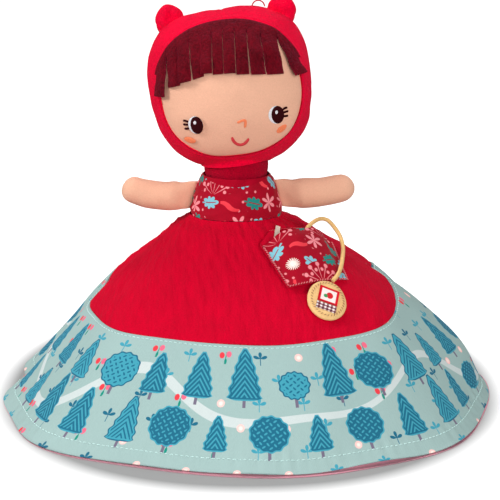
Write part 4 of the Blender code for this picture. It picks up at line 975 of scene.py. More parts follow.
CORD_COTTON = cloth_material("cord_cotton", tint(232, 190, 124), "weave", 0.0008, 0.01, 0.85, 0.1, 0.2,
                             0.8, 0.0004)
PATCH_COTTON = cloth_material("patch_cotton", CREAM, "weave", 0.0004, 0.01, 0.75, 0.03, 0.08, 0.3,
                              0.0002, pattern=patch_print())
GINGHAM = cloth_material("gingham", CREAM, "weave", 0.0004, 0.01, 0.75, 0.03, 0.08, 0.3, 0.0002,
                         pattern=gingham_print())
WHITE_THREAD = thread_material("white_thread", tint(232, 230, 234), lean=0.3)
DARK_THREAD = thread_material("dark_thread", tint(50, 8, 12), lean=0.6, roughness=0.8, gloss=0.05)
CORAL_THREAD = thread_material("coral_thread", tint(248, 136, 92), lean=0.9)
RED_THREAD = thread_material("red_thread", tint(214, 62, 70), lean=1.2)
AQUA_THREAD = thread_material("aqua_thread", tint(204, 234, 230))
BROWN_THREAD = thread_material("brown_thread", tint(168, 122, 84))
PINK_THREAD = thread_material("pink_thread", tint(224, 130, 136))
SCARLET_THREAD = thread_material("scarlet_thread", tint(190, 6, 36))


# ---------------------------------------------------------------- camera and cord

def add_camera():
    """The photograph's camera, level from side to side and looking a little down."""
    data = bpy.data.cameras.new("camera")
    data.lens = CAMERA_LENS
    data.sensor_width = CAMERA_SENSOR
    camera = bpy.data.objects.new("camera", data)
    camera.location = CAMERA_PLACE
    camera.rotation_euler = (0.5 * math.pi - CAMERA_DROP, 0.0, 0.0)
    bpy.context.collection.objects.link(camera)
    bpy.context.scene.camera = camera


def bell(angle, middle, half_width):
    """A smooth bump round one angle, all in degrees."""
    away = (angle - middle + 180.0) % 360.0 - 180.0
    return np.exp(-(away / half_width) ** 2)


def skirt_slope_length():
    """Length of the straight slope from the waist to the hem."""
    return math.hypot(HEM_RADIUS - WAIST_HALF_WIDTH, WAIST_HEIGHT)


def skirt_surface(angle, share):
    """Skirt: a cone from the waist to the hem, swollen half way down, pushed by folds and puffs."""
    turn = np.radians(angle)
    slope = skirt_slope_length()
    bulge = SKIRT_BULGE * np.sin(math.pi * np.clip(share, 0.0, 1.0)) ** SKIRT_BULGE_POWER
    push = bulge * WAIST_HEIGHT / slope
    for middle, drift, half_width, depth in SKIRT_FOLDS:
        push = push + depth * HEM_RADIUS * share * bell(angle, middle + drift * share, half_width)
    for middle, half_width, place, length, depth in SKIRT_PUFFS:
        along = np.exp(-((share - place) / length) ** 2)
        push = push + depth * HEM_RADIUS * along * bell(angle, middle, half_width)
    width = WAIST_HALF_WIDTH + (HEM_RADIUS - WAIST_HALF_WIDTH) * share + push
    depth_radius = WAIST_HALF_DEPTH + (HEM_RADIUS - WAIST_HALF_DEPTH) * share + push
    middle_x = BODY_SHIFT * (1.0 - share) + SKIRT_SWAY * np.sin(math.pi * share)
    height = WAIST_HEIGHT * (1.0 - share) + bulge * (HEM_RADIUS - WAIST_HALF_WIDTH) / slope
    height = height - WAIST_DROP * (1.0 - smooth_step(share, 0.0, WAIST_DROP_SHARE))
    return np.stack(np.broadcast_arrays(middle_x + width * np.sin(turn), -depth_radius * np.cos(turn),
                                        height), axis=-1)


def seam_share(angle):
    """Share of the slope at which the printed band starts."""
    share = BAND_TOP_SHARE + 0.0 * angle
    for middle, half_width, dip in SEAM_DIPS:
        share = share + dip * bell(angle, middle, half_width)
    return share


def skirt_point(angle, share, lift):
    """A point above the skirt along its normal, or below it where the lift is negative."""
    step_angle, step_share = 1.5, 0.02
    across = skirt_surface(angle + step_angle, share) - skirt_surface(angle - step_angle, share)
    down = (skirt_surface(angle, np.clip(share + step_share, 0.0, 1.0))
            - skirt_surface(angle, np.clip(share - step_share, 0.0, 1.0)))
    normal = np.cross(down, across)
    normal = normal / np.linalg.norm(normal, axis=-1, keepdims=True)
    return skirt_surface(angle, share) + normal * np.asarray(lift)[..., None]


def pouch_frame():
    """Middle of the pouch on the skirt, and its directions across, up the slope and outward."""
    middle = skirt_surface(np.array(POUCH_ANGLE), np.array(POUCH_SHARE))
    reach = POUCH_HALF_HEIGHT / skirt_slope_length()
    high, low = (skirt_surface(np.array(POUCH_ANGLE), np.array(POUCH_SHARE + side * reach))
                 for side in (-1.0, 1.0))
    slope = (high - low) / np.linalg.norm(high - low)
    turn = math.radians(POUCH_ANGLE)
    outward = np.cross((math.cos(turn), math.sin(turn), 0.0), slope)
    outward /= np.linalg.norm(outward)
    across = np.cross(slope, outward) * math.cos(POUCH_TURN) + slope * math.sin(POUCH_TURN)
    return middle, across, np.cross(outward, across), outward


def pouch_point(across, up, lift):
    """A point of the pouch: across and up from its middle, bent round the skirt, then lifted."""
    middle, right, uphill, outward = pouch_frame()
    across, up, lift = np.broadcast_arrays(across, up, lift)
    drop = across ** 2 / (2.0 * POUCH_BEND_RADIUS)
    return (middle + across[..., None] * right + up[..., None] * uphill
            + (lift - drop)[..., None] * outward)


def cord_route():
    """The cord's middle line, from the mouth of the pouch over to the side and down to the charm."""
    places = np.array(CORD_PLACES)
    return smooth_route(pouch_point(places[:, 0], places[:, 1], places[:, 2]), 0.0033)


def add_cord():
    """The tan cord as one curve."""
    route = cord_route()
    curve = bpy.data.curves.new("pouch_cord_line", "CURVE")
    curve.dimensions = "3D"
    curve.bevel_depth = 0.5 * CORD_DIAMETER
    curve.bevel_resolution = 5
    curve.use_fill_caps = True
    spline = curve.splines.new("POLY")
    spline.points.add(len(route) - 1)
    spline.points.foreach_set("co", np.concatenate([route, np.ones((len(route), 1))], axis=1).ravel())
    curve.materials.append(CORD_COTTON)
    cord = bpy.data.objects.new("tan_cord", curve)
    bpy.context.collection.objects.link(cord)
    finish(cord, "pouch", "pouch_cord", "pouch_cord")
    return cord, route


# ---------------------------------------------------------------- skirt

def flat_cut(angle, share, middle):
    """Place on the cloth as it lay when cut: the cone unrolled about the middle of its panel."""
    slope = skirt_slope_length()
    opening = (HEM_RADIUS - WAIST_HALF_WIDTH) / slope
    reach = WAIST_HALF_WIDTH / opening + share * slope
    swing = np.radians((angle - middle + 180.0) % 360.0 - 180.0) * opening
    return np.stack([reach * np.sin(swing), -reach * np.cos(swing) + middle * MM], axis=-1)


def panel_middle(angle):
    """Middle of the front or the back panel, whichever an angle belongs to."""
    return np.where(np.abs(angle) < SIDE_SEAM_ANGLE, 0.0, 180.0)


def crinkle_lift(angle, share, seed):
    """Ribs of the crinkled cloth, straight down each panel and stronger at the lit side."""
    flat = flat_cut(angle, share, panel_middle(angle))
    stretched = np.stack([flat[..., 0], flat[..., 1] / CRINKLE_STRETCH, 0.0 * flat[..., 0]], axis=-1)
    ribs = ripples(stretched, 0.0052, seed, 40)
    side = np.clip(np.abs(np.abs(angle) - SIDE_SEAM_ANGLE) / 4.0, 0.0, 1.0)
    strength = 0.35 + 0.65 * bell(angle, -45.0, 50.0)
    return 0.00036 * ribs * side * strength * smooth_step(share, 0.0, 0.06)


def add_skirt():
    """Crinkled panel, printed band with its hem, lining and the rows of stitching."""
    slope = skirt_slope_length()
    angle = np.linspace(-180.0, 180.0, SKIRT_COLUMNS, endpoint=False)[None, :]
    seam = seam_share(angle)
    wide_angle = np.append(angle[0], 180.0)
    seam_wide = np.append(seam[0], seam[0, 0])
    # Panel
    down = np.linspace(0.0, 1.0, 70)[:, None]
    share = down * seam
    full_angle = np.broadcast_to(angle, share.shape)
    tuck = np.exp(-((1.0 - down) * seam * slope / 0.0020) ** 2)
    side_groove = np.exp(-((np.abs(full_angle) - SIDE_SEAM_ANGLE) / 1.1) ** 2)
    gathers = np.clip(1.0 - share / 0.22, 0.0, 1.0) * round_ripples(angle, share, (14, 40), 0.6, 6)
    lift = (0.0004 * ripples(skirt_surface(angle, share), 0.06, 5) + 0.00012 * gathers
            + crinkle_lift(full_angle, share, 12) - 0.0007 * side_groove)
    lift = np.maximum(lift, -0.0010) - 0.0006 * tuck
    outer = skirt_point(full_angle, share, lift)
    inner = skirt_point(full_angle, share, lift - 0.5 * PANEL_THICKNESS)
    wide_share = down * seam_wide[None, :]
    sides = np.stack([wide_angle[:-1], wide_angle[1:], wide_angle[1:], wide_angle[:-1]], axis=-1)[None]
    middles = panel_middle(0.5 * (wide_angle[:-1] + wide_angle[1:]))[None, :, None]
    uv = flat_cut(*np.broadcast_arrays(sides, corner_places(wide_share[..., None])[..., 0], middles))
    panel = add_shell("crinkled_skirt_panel", outer, inner, VELOUR, uv=uv)
    finish(panel, "skirt_and_body", "skirt_upper_panel", "skirt_upper_panel")
    # Band
    rows = 58
    down = np.linspace(0.0, 1.0, rows)[:, None]
    share = seam + down * (1.0 - seam)
    full_angle = np.broadcast_to(angle, share.shape)
    above_hem = (1.0 - share) * slope
    fold = 1.0 - smooth_step(above_hem, HEM_FOLD - 0.0008, HEM_FOLD + 0.0006)
    tuck = np.exp(-((share - seam) * slope / 0.0020) ** 2)
    pucker = round_ripples(angle, above_hem * 8.0, (70, 150), 0.4, 31) * np.exp(
        -((above_hem - HEM_FOLD) / 0.009) ** 2)
    lift = 0.0004 * ripples(skirt_surface(angle, share), 0.07, 8) + 0.00022 * pucker
    lift = np.maximum(lift, -0.0009) + 0.0004 * fold - 0.0005 * tuck
    outer = skirt_point(full_angle, share, lift)
    inner = skirt_point(full_angle, share, lift - 0.6 * BAND_THICKNESS)
    rise = 0.0006 + 0.0020 * bell(angle, 16.0, 50.0) * (0.75 + 0.25 * round_ripples(
        angle, 0.0, (5, 16), 0.0, 77))
    near = np.exp(-above_hem / 0.006)
    for grid in (outer, inner):
        grid[..., 2] = np.maximum(grid[..., 2], 0.0) + np.clip(rise, 0.0004, 0.0030) * near
    band_uv = np.stack(np.broadcast_arrays(
        np.linspace(0.0, 1.0, SKIRT_COLUMNS + 1)[None, :],
        (1.0 - (seam_wide + down * (1.0 - seam_wide))) * slope), axis=-1)
    band = add_shell("printed_skirt_band", outer, inner, BAND_COTTON, uv=band_uv)
    finish(band, "skirt_and_body", "skirt_print_band", "skirt_print_band")
    band_normals = grid_normals(outer, True)
    # Lining, whose foot turns out under the band's edge
    lining_angle = angle[:, ::2]
    down = np.concatenate([np.linspace(0.0, 0.965, 52), [0.985, 1.0, 1.0]])[:, None]
    share = LINING_TOP_SHARE + down * (1.0 - LINING_TOP_SHARE) + 0.0 * lining_angle
    full_angle = np.broadcast_to(lining_angle, share.shape)
    lift = 0.00015 * ripples(skirt_surface(lining_angle, share), 0.05, 14) - LINING_DEPTH
    lift[-2] = -0.0018
    lift[-1] = 0.0002 + 0.0022 * bell(lining_angle, 16.0, 52.0)[0]
    outer = skirt_point(full_angle, share, lift)
    inner = skirt_point(full_angle, share, lift - LINING_THICKNESS)
    outer[..., 2] = np.maximum(outer[..., 2], 0.0006)
    outer[-3:-1, :, 2] = 0.0008
    outer[-1, :, 2] = 0.0006
    inner[..., 2] = np.maximum(inner[..., 2], 0.0002)
    inner[-2:, :, 2] = 0.0001
    lining = add_shell("pink_skirt_lining", outer, inner, LINING_COTTON)
    finish(lining, "skirt_and_body", "skirt_lining", "skirt_lining")
    # Stitching beside the seam and along the folded hem
    stitch_angle = np.linspace(-180.0, 180.0, 721)
    top = seam_share(stitch_angle)
    column_place = (stitch_angle + 180.0) / 360.0 * SKIRT_COLUMNS
    for name, line in (("seam_stitching", top + 0.0022 / slope),
                       ("hem_stitching", 1.0 - (HEM_FOLD + 0.0002) / slope + 0.0 * top)):
        row_place = (line - top) / (1.0 - top) * (rows - 1)
        add_stitches(name, sample_array(outer_band(band, rows), row_place, column_place),
                     sample_array(band_normals, row_place, column_place), 0.0034, 0.0023, 0.00034,
                     AQUA_THREAD, "skirt_and_body", "skirt_print_band")
    return panel, band, lining


def outer_band(band, rows):
    """Points of the band's outer side, row by row."""
    points = np.empty(3 * len(band.data.vertices))
    band.data.vertices.foreach_get("co", points)
    return points[:3 * rows * SKIRT_COLUMNS].reshape(rows, SKIRT_COLUMNS, 3)


def sample_array(grid, row, column):
    """Values of a closed grid between its lines: the weighted mean of the four nearest."""
    rows, columns = grid.shape[:2]
    row = np.clip(row, 0.0, rows - 1.001)
    top, first = np.floor(row).astype(int), np.floor(column).astype(int)
    low, side = (row - top)[:, None], (column - first)[:, None]
    first, beside = first % columns, (first + 1) % columns
    return ((grid[top, first] * (1.0 - side) + grid[top, beside] * side) * (1.0 - low)
            + (grid[top + 1, first] * (1.0 - side) + grid[top + 1, beside] * side) * low)


# ---------------------------------------------------------------- frames of the bodies

class Place:
    """Where a body's own coordinates lie: a turn about Y and an origin."""

    def __init__(self, turn, origin, flip=False):
        cosine, sine = math.cos(turn), math.sin(turn)
        self.axes = np.array([[cosine, 0.0, sine], [0.0, 1.0, 0.0], [-sine, 0.0, cosine]])
        if flip:
            self.axes = self.axes @ np.diag([-1.0, 1.0, -1.0])
        self.origin = np.asarray(origin, float)

    def world(self, points):
        """Points in the row frame."""
        return np.asarray(points, float) @ self.axes.T + self.origin

    def inner(self, point):
        """A place inside this one, by its own coordinates."""
        return self.origin + self.axes @ np.asarray(point, float)


UPPER = Place(0.0, (BODY_SHIFT, 0.0, WAIST_HEIGHT))
LOWER = Place(0.0, (BODY_SHIFT, 0.0, WAIST_HEIGHT), flip=True)
NECK = Place(HEAD_LEAN, UPPER.inner((0.0, 0.0, NECK_HEIGHT)))
HEAD = Place(HEAD_LEAN, NECK.inner((HEAD_SIDE_OFFSET, 0.0, HEAD_RISE)))
SECOND_NECK = Place(0.0, LOWER.inner((0.0, 0.0, NECK_HEIGHT)), flip=True)
SECOND_HEAD = Place(0.0, SECOND_NECK.inner((0.0, 0.0, SECOND_HEAD_RISE)), flip=True)


# ---------------------------------------------------------------- torso and arms

def add_bodice(name, node, place, cloth, start, size, neck_radius, fillings):
    """Printed cover of a torso: ovals that narrow to the collar, pulled in a little at the waist."""
    collar = math.sqrt(neck_radius ** 2 - (NECK_HEIGHT - SHOULDER_HEIGHT) ** 2) + 0.0017
    height = np.linspace(start, SHOULDER_HEIGHT, 34)[:, None]
    along = height / SHOULDER_HEIGHT
    profile = np.array(TORSO_PROFILE)
    width = np.interp(along, profile[:, 0], profile[:, 1])
    depth = np.interp(along, profile[:, 0], profile[:, 2])
    half_width = np.maximum(BODICE_HALF_WIDTH * width * size, collar + COVER_THICKNESS)
    half_depth = np.maximum(BODICE_HALF_DEPTH * depth * size, collar + COVER_THICKNESS)
    close = smooth_step(along, 0.965, 1.0)
    half_width = half_width * (1.0 - close) + collar * close
    half_depth = half_depth * (1.0 - close) + collar * close
    turn = np.linspace(0.0, FULL_TURN, 144, endpoint=False)[None, :]
    around = np.stack(np.broadcast_arrays(half_width * np.cos(turn), half_depth * np.sin(turn), height),
                      axis=-1)
    crease = 0.00035 * ripples(around * np.array([1.0, 1.0, 1.7]), 0.014, 21) * (1.0 - close)
    outward = np.stack(np.broadcast_arrays(np.cos(turn), np.sin(turn), 0.0), axis=-1)
    outer = around + outward * crease[..., None]
    inner = around + outward * (crease[..., None] - 0.7 * COVER_THICKNESS)
    inner[-1] = outer[-1] - np.array([0.0, 0.0, 0.0006])
    run = np.linspace(0.0, 1.0, 145)[None, :] * FULL_TURN * 0.030 + 0.005
    uv = np.stack(np.broadcast_arrays(run, height + 0.0 * run), axis=-1)
    piece = add_shell(name, place.world(outer), place.world(inner), cloth, uv=uv)
    finish(piece, "skirt_and_body", node, node, *fillings)


def add_neck(name, place, radius, cloth, body, slot_name, node):
    """Stuffed neck: a ball with soft upright creases."""
    rise = np.linspace(-0.5 * math.pi, 0.5 * math.pi, 32)[1:-1, None]
    turn = np.linspace(0.0, FULL_TURN, 72, endpoint=False)[None, :]
    crease = 0.00025 * round_ripples(np.degrees(turn), np.sin(rise), (8, 26), 0.1, 51) * np.cos(rise)
    reach = radius + crease - 0.0002
    rings = np.stack(np.broadcast_arrays(reach * np.cos(rise) * np.cos(turn),
                                         reach * np.cos(rise) * np.sin(turn), reach * np.sin(rise)),
                     axis=-1)
    piece = add_loft(name, place.world(rings), cloth, place.world([0.0, 0.0, -radius]),
                     place.world([0.0, 0.0, radius]))
    finish(piece, body, slot_name, node)


def add_arm(name, body, place, side, length, seam_height, slim, raise_angle, path_turn, torso_share,
            seed):
    """A stuffed jersey tube from its flat seam to a round hand, curving a little on its way."""
    profile = np.array(TORSO_PROFILE)
    half_height = ARM_HALF_HEIGHT * slim * ARM_SECTIONS[0][1]
    low, high = seam_height - half_height, seam_height + half_height
    wide, narrow = (BODICE_HALF_WIDTH * torso_share * np.interp(level / SHOULDER_HEIGHT, profile[:, 0],
                                                                 profile[:, 1]) for level in (low, high))
    reach = 0.5 * (wide + narrow) + ARM_SEAM_STAND_OFF
    lean = math.atan2(wide - narrow, high - low)
    # The sections run evenly to the wrist and close together over the hand's round end
    along = np.concatenate([np.linspace(0.0, 0.9, 34), 1.0 - 0.1 * np.cos(
        np.linspace(0.0, 0.5 * math.pi, 12))[1:]])
    along = np.clip(along, 0.0, 0.9995)
    table = np.array(ARM_SECTIONS)
    hand = np.sqrt(np.clip(1.0 - np.clip((along - 0.80) / 0.20, 0.0, 1.0) ** 2.3, 0.0, 1.0))
    height_share = np.interp(along, table[:7, 0], table[:7, 1]) * hand
    depth_share = np.interp(along, table[:7, 0], table[:7, 2]) * hand
    heading = raise_angle + path_turn * (along - ARM_LEVEL_SHARE)
    steps = np.diff(along, prepend=0.0) * length
    path_x, path_z = np.cumsum(steps * np.cos(heading)), np.cumsum(steps * np.sin(heading))
    blend = np.clip(along / ARM_UNTWIST_SHARE, 0.0, 1.0)
    tilt = (lean * (1.0 - blend) + heading * blend)[:, None]
    turn = np.linspace(0.0, FULL_TURN, 56, endpoint=False)[None, :]
    half_up = (ARM_HALF_HEIGHT * slim * height_share)[:, None]
    half_deep = np.maximum(ARM_HALF_DEPTH * slim * depth_share, 0.0004 * hand)[:, None]
    up = np.sin(turn) * half_up
    rings = np.stack(np.broadcast_arrays(side * (path_x[:, None] - up * np.sin(tilt)),
                                         half_deep * np.cos(turn), path_z[:, None] + up * np.cos(tilt)),
                     axis=-1)
    # Dimples by the seam and a fine seam along the under side
    share = along[:, None]
    normal = grid_normals(rings, True) * (-side)
    pull = (0.00035 * ripples(rings, 0.013, seed) * np.exp(-((share - 0.16) / 0.12) ** 2)
            + 0.0002 * ripples(rings, 0.022, seed + 1) * np.clip(share * 4.0, 0.0, 1.0))
    seam_line = np.exp(-((turn - 1.5 * math.pi) / 0.09) ** 2) * np.clip(share * 6.0, 0.0, 1.0)
    rings = rings + normal * (pull - 0.0005 * seam_line)[..., None] * hand[:, None, None]
    rings[:3, :, 0] -= side * np.array([0.0011, 0.0009, 0.0004])[:, None]
    origin = np.array([side * reach, 0.0, seam_height])
    heading_end = raise_angle + path_turn * (1.0 - ARM_LEVEL_SHARE)
    tip = rings[-1].mean(axis=0) + side * np.array([math.cos(heading_end), 0.0, 0.0]) * 0.00002
    piece = add_loft(name, place.world(rings + origin), SKIN_JERSEY,
                     place.world(rings[0].mean(axis=0) + origin), place.world(tip + origin))
    finish(piece, body, body, body)


# ---------------------------------------------------------------- heads

class HeadShape:
    """A pillow: a rounded square seen from the front, an oval seen from the side."""

    def __init__(self, half_width, half_height, half_depth, opening, top_power=2.95, bottom_power=2.3):
        self.half_width, self.half_height, self.half_depth = half_width, half_height, half_depth
        self.top_power, self.bottom_power = top_power, bottom_power
        self.open_width, self.open_height, self.open_rise = opening

    def power(self, up):
        """Roundness power of the upper or the lower half."""
        return np.where(np.asarray(up) > 0.0, self.top_power, self.bottom_power)

    def rim(self, turn):
        """Point of the widest outline at an angle, seen from the front."""
        across, up = np.cos(turn), np.sin(turn)
        power = self.power(up)
        reach = (np.abs(across) ** power + np.abs(up) ** power) ** (1.0 / power)
        return np.stack([self.half_width * across / reach, self.half_height * up / reach], axis=-1)

    def edge(self, turn, margin=0.0, power=2.35):
        """Point of the face opening's edge at an angle, moved inward by a margin."""
        across, up = np.cos(turn), np.sin(turn)
        reach = (np.abs(across) ** power + np.abs(up) ** power) ** (1.0 / power)
        return np.stack([(self.open_width - margin) * across / reach,
                         self.open_rise + (self.open_height - margin) * up / reach], axis=-1)

    def front(self, place, lift=0.0):
        """Point over a place seen from the front, lifted square to the pillow."""
        place = np.asarray(place, float)
        across, up = place[..., 0] / self.half_width, place[..., 1] / self.half_height
        power = self.power(up)
        reach = np.abs(across) ** power + np.abs(up) ** power
        depth = self.half_depth * np.sqrt(np.clip(1.0 - reach ** (2.0 / power), 0.0, 1.0))
        point = np.stack([place[..., 0], -depth, place[..., 1]], axis=-1)
        return point + self.normal(point) * np.asarray(lift)[..., None]

    def normal(self, point):
        """Unit vector square to the pillow: the slope of its implicit formula."""
        across, up = point[..., 0] / self.half_width, point[..., 2] / self.half_height
        power = self.power(up)
        reach = np.maximum(np.abs(across) ** power + np.abs(up) ** power, 1e-9)
        share = reach ** (2.0 / power - 1.0)
        slope = np.stack([share * np.abs(across) ** (power - 1.0) * np.sign(across) / self.half_width,
                          point[..., 1] / self.half_depth ** 2,
                          share * np.abs(up) ** (power - 1.0) * np.sign(up) / self.half_height], axis=-1)
        return slope / (np.linalg.norm(slope, axis=-1, keepdims=True) + 1e-12)


GIRL = HeadShape(0.0568, 0.0563, 0.0450, (0.0490, 0.0461, 0.0033))
SECOND = HeadShape(0.0510, 0.0500, 0.0420, (0.0405, 0.0380, -0.0030))


def add_hood(name, node, filling, shape, place, cloth, body, neck_point, neck_radius, seed, flat=None):
    """Padded cover of a head: from the rolled edge round the face over the rim to the back.

    The cover dips along its centre seam, bulges at the stuffing and wraps the neck below.
    """
    columns = 192
    turn = np.linspace(0.0, FULL_TURN, columns, endpoint=False)
    edge, rim = shape.edge(turn), shape.rim(turn)
    roll = 0.0010
    grid = []
    lifts = []
    for blend in np.sin(0.5 * math.pi * np.linspace(0.0, 1.0, 26)[:-1]):
        grid.append(shape.front(edge * (1.0 - blend) + rim * blend))
        lifts.append(np.full(columns, blend))
    for swing in np.linspace(0.0, 0.5 * math.pi, 44)[:-1]:
        ring = rim * math.cos(swing)
        grid.append(np.stack([ring[:, 0], np.full(columns, shape.half_depth * math.sin(swing)),
                              ring[:, 1]], axis=-1))
        lifts.append(np.full(columns, 2.0))
    grid, lifts = np.array(grid), np.array(lifts)
    normal = shape.normal(grid)
    gap = np.linalg.norm(grid - grid[:1], axis=-1)
    bulge = roll * np.exp(-((gap - 0.0018) / 0.0016) ** 2)
    seam = np.exp(-(grid[..., 0] / 0.0009) ** 2) * smooth_step(gap, 0.0, 0.004)
    puff = 0.0004 * ripples(grid, 0.050, seed) + 0.00015 * ripples(grid, 0.014, seed + 1)
    settle = smooth_step(gap, 0.0, 0.012)
    outer = grid + normal * (bulge + puff * settle - 0.0006 * seam)[..., None]
    inner = grid + normal * (puff * settle - HOOD_THICKNESS + 0.0002)[..., None]
    for cover, reach in ((outer, neck_radius + NECK_SOCKET_GAP + 0.0008),
                         (inner, neck_radius + NECK_SOCKET_GAP)):
        away = cover - neck_point
        far = np.linalg.norm(away, axis=-1, keepdims=True)
        away = away / far * np.maximum(far, reach)
        # The lip turns in under the head and closes inside the neck
        turned = smooth_step(-away[..., 2], 0.0, 0.006) * (far[..., 0] < reach)
        away[..., :2] *= (1.0 - 0.45 * turned)[..., None]
        away[..., 2] = np.where(far[..., 0] < reach, np.maximum(away[..., 2], NECK_LIP), away[..., 2])
        cover[...] = neck_point + away
    outer_pole, inner_pole = ([0.0, shape.half_depth + 0.0003, 0.0], [0.0, shape.half_depth - 0.0012, 0.0])
    grids = [place.world(outer), place.world(inner)]
    if flat is not None:
        for cover, floor in zip(grids, (flat, flat + 0.0008)):
            cover[..., 2] = np.maximum(cover[..., 2], floor)
    piece = add_shell(name, grids[0], grids[1], cloth,
                      poles=(place.world(outer_pole), place.world(inner_pole)))
    finish(piece, body, node, node, filling)


def add_face(name, node, shape, place, body):
    """Knitted face that fills the opening, dipping into the seam at its edge."""
    columns, rows = 144, 40
    turn = np.linspace(0.0, FULL_TURN, columns, endpoint=False)
    edge = shape.edge(turn, -0.0010)
    middle = np.array([0.0, shape.open_rise])
    share = np.linspace(1.0, 0.02, rows)[:, None, None]
    spot = middle + (edge - middle)[None] * share
    dip = -0.0009 * smooth_step(share[..., 0], 0.95, 1.0)
    soft = 0.0003 * ripples(shape.front(spot), 0.030, 61)
    outer = shape.front(spot, dip + soft - 0.0002)
    inner = shape.front(spot, dip + soft - 0.0010)
    uv = np.concatenate([spot, spot[:, :1]], axis=1)
    piece = add_shell(name, place.world(outer), place.world(inner), SKIN_JERSEY, uv=uv,
                      poles=(place.world(shape.front(middle, soft[-1, 0] - 0.0002)),
                             place.world(shape.front(middle, soft[-1, 0] - 0.0010))))
    finish(piece, body, node, node)


def add_patch(name, shape, place, body, slot_name, outline, height, lift, thread, nodes=()):
    """A patch of satin stitch: an outline seen from the front, domed and closed underneath."""
    outline = np.asarray(outline, float)
    middle = outline.mean(axis=0)
    share = np.array([1.0, 0.97, 0.88, 0.7, 0.45, 0.2])[:, None, None]
    spot = middle + (outline - middle)[None] * share
    dome = height * np.sqrt(np.clip(1.0 - share[..., 0] ** 3, 0.0, 1.0)) + 0.0 * spot[..., 0]
    top = shape.front(spot, lift + 0.00012 + dome)
    bottom = shape.front(spot, lift)
    piece = add_shell(name, place.world(top), place.world(bottom), thread,
                      poles=(place.world(shape.front(middle, lift + height)),
                             place.world(shape.front(middle, lift))))
    finish(piece, body, slot_name, *nodes)


def add_stroke(name, shape, place, body, slot_name, points, half_width, lift, thread, nodes=()):
    """A stroke of satin stitch: a flat-bottomed rope along a smooth path on the face."""
    path = smooth_route(points, 0.0004)
    along = np.gradient(path, axis=0)
    along /= np.linalg.norm(along, axis=1, keepdims=True)
    side = np.stack([-along[:, 1], along[:, 0]], axis=-1)
    place_on = np.linspace(0.0, 1.0, len(path))
    ends = np.sqrt(np.clip(1.0 - np.abs(2.0 * place_on - 1.0) ** 8, 0.0, 1.0)) + 0.02
    turn = np.linspace(0.0, FULL_TURN, 14, endpoint=False)
    across = half_width * ends[:, None] * np.cos(turn)
    rise = lift + 0.0001 + half_width * 0.55 * ends[:, None] * np.maximum(np.sin(turn), -0.15)
    spot = path[:, None] + side[:, None] * across[..., None]
    rings = shape.front(spot, rise)
    piece = add_loft(name, place.world(rings), thread, place.world(rings[0].mean(axis=0)),
                     place.world(rings[-1].mean(axis=0)))
    finish(piece, body, slot_name, *nodes)


def oval(middle, size, lean=0.0, count=40):
    """An oval outline seen from the front."""
    turn = np.linspace(0.0, FULL_TURN, count, endpoint=False)
    across, up = size[0] * np.cos(turn), size[1] * np.sin(turn)
    return np.stack([middle[0] + across * math.cos(lean) - up * math.sin(lean),
                     middle[1] + across * math.sin(lean) + up * math.cos(lean)], axis=-1)


def add_features(prefix, shape, place, body, scale):
    """Embroidered eyes with lashes and a glint, cheeks, nose and smile; places in millimetres."""
    unit = MM * scale
    lift = 0.0002
    for label, side, middle, cheek, cheek_lean in (
            ("right", -1.0, (-25.9, -16.8), (-31.5, -27.6), math.radians(-20.0)),
            ("left", 1.0, (28.9, -16.7), (31.6, -27.4), math.radians(31.0))):
        middle = np.array(middle)
        add_patch(f"{prefix}eye_white_patch_{label}", shape, place, body,
                  f"{prefix}eye_white_{label}", oval(middle * unit, (5.1 * unit, 6.3 * unit)),
                  0.0005, lift, WHITE_THREAD, (f"{prefix}eye_white_{label}",))
        add_patch(f"{prefix}iris_patch_{label}", shape, place, body, f"{prefix}eye_iris_{label}",
                  oval((middle + (0.95, 0.0)) * unit, (4.25 * unit, 6.15 * unit)), 0.0006,
                  lift + 0.0005, DARK_THREAD, (f"{prefix}eye_iris_{label}",))
        add_patch(f"{prefix}glint_{label}", shape, place, body, f"{prefix}eye_white_{label}",
                  oval((middle + (0.1, 2.1)) * unit, (0.95 * unit, 1.25 * unit), -0.3, 20), 0.0003,
                  lift + 0.0010, WHITE_THREAD)
        add_patch(f"{prefix}cheek_patch_{label}", shape, place, body, f"{prefix}cheek_{label}",
                  oval(np.array(cheek) * unit, (4.1 * unit, 2.1 * unit), cheek_lean), 0.0005, lift,
                  CORAL_THREAD, (f"{prefix}cheek_{label}",))
        start = middle + (side * 4.6, 0.0)
        for number, (rise, tip_rise, reach) in enumerate(((2.5, 3.6, 3.7), (0.5, 0.9, 4.1),
                                                          (-1.9, -2.2, 3.6))):
            points = np.array([start + (0.0, rise), start + (side * 0.5 * reach, 0.55 * (rise + tip_rise)),
                               start + (side * reach, tip_rise)]) * unit
            add_stroke(f"{prefix}lash_{label}_{number + 1}", shape, place, body,
                       f"{prefix}eye_iris_{label}", points, 0.00076 * scale, lift, DARK_THREAD)
    nose = np.array([(2.2, -18.0), (4.6, -17.2), (7.0, -16.8), (7.9, -17.4), (7.7, -19.6), (7.0, -22.2)])
    add_stroke(f"{prefix}nose_stitching", shape, place, body, f"{prefix}nose", nose * unit,
               0.00085 * scale, lift, CORAL_THREAD, (f"{prefix}nose",))
    smile = np.array([(-2.5, -27.6), (-1.9, -30.6), (-0.2, -33.1), (2.4, -34.3), (5.2, -33.8),
                      (7.4, -32.0), (8.7, -30.1)])
    add_stroke(f"{prefix}smile_stitching", shape, place, body, f"{prefix}mouth", smile * unit,
               0.00102 * scale, lift, RED_THREAD, (f"{prefix}mouth",))


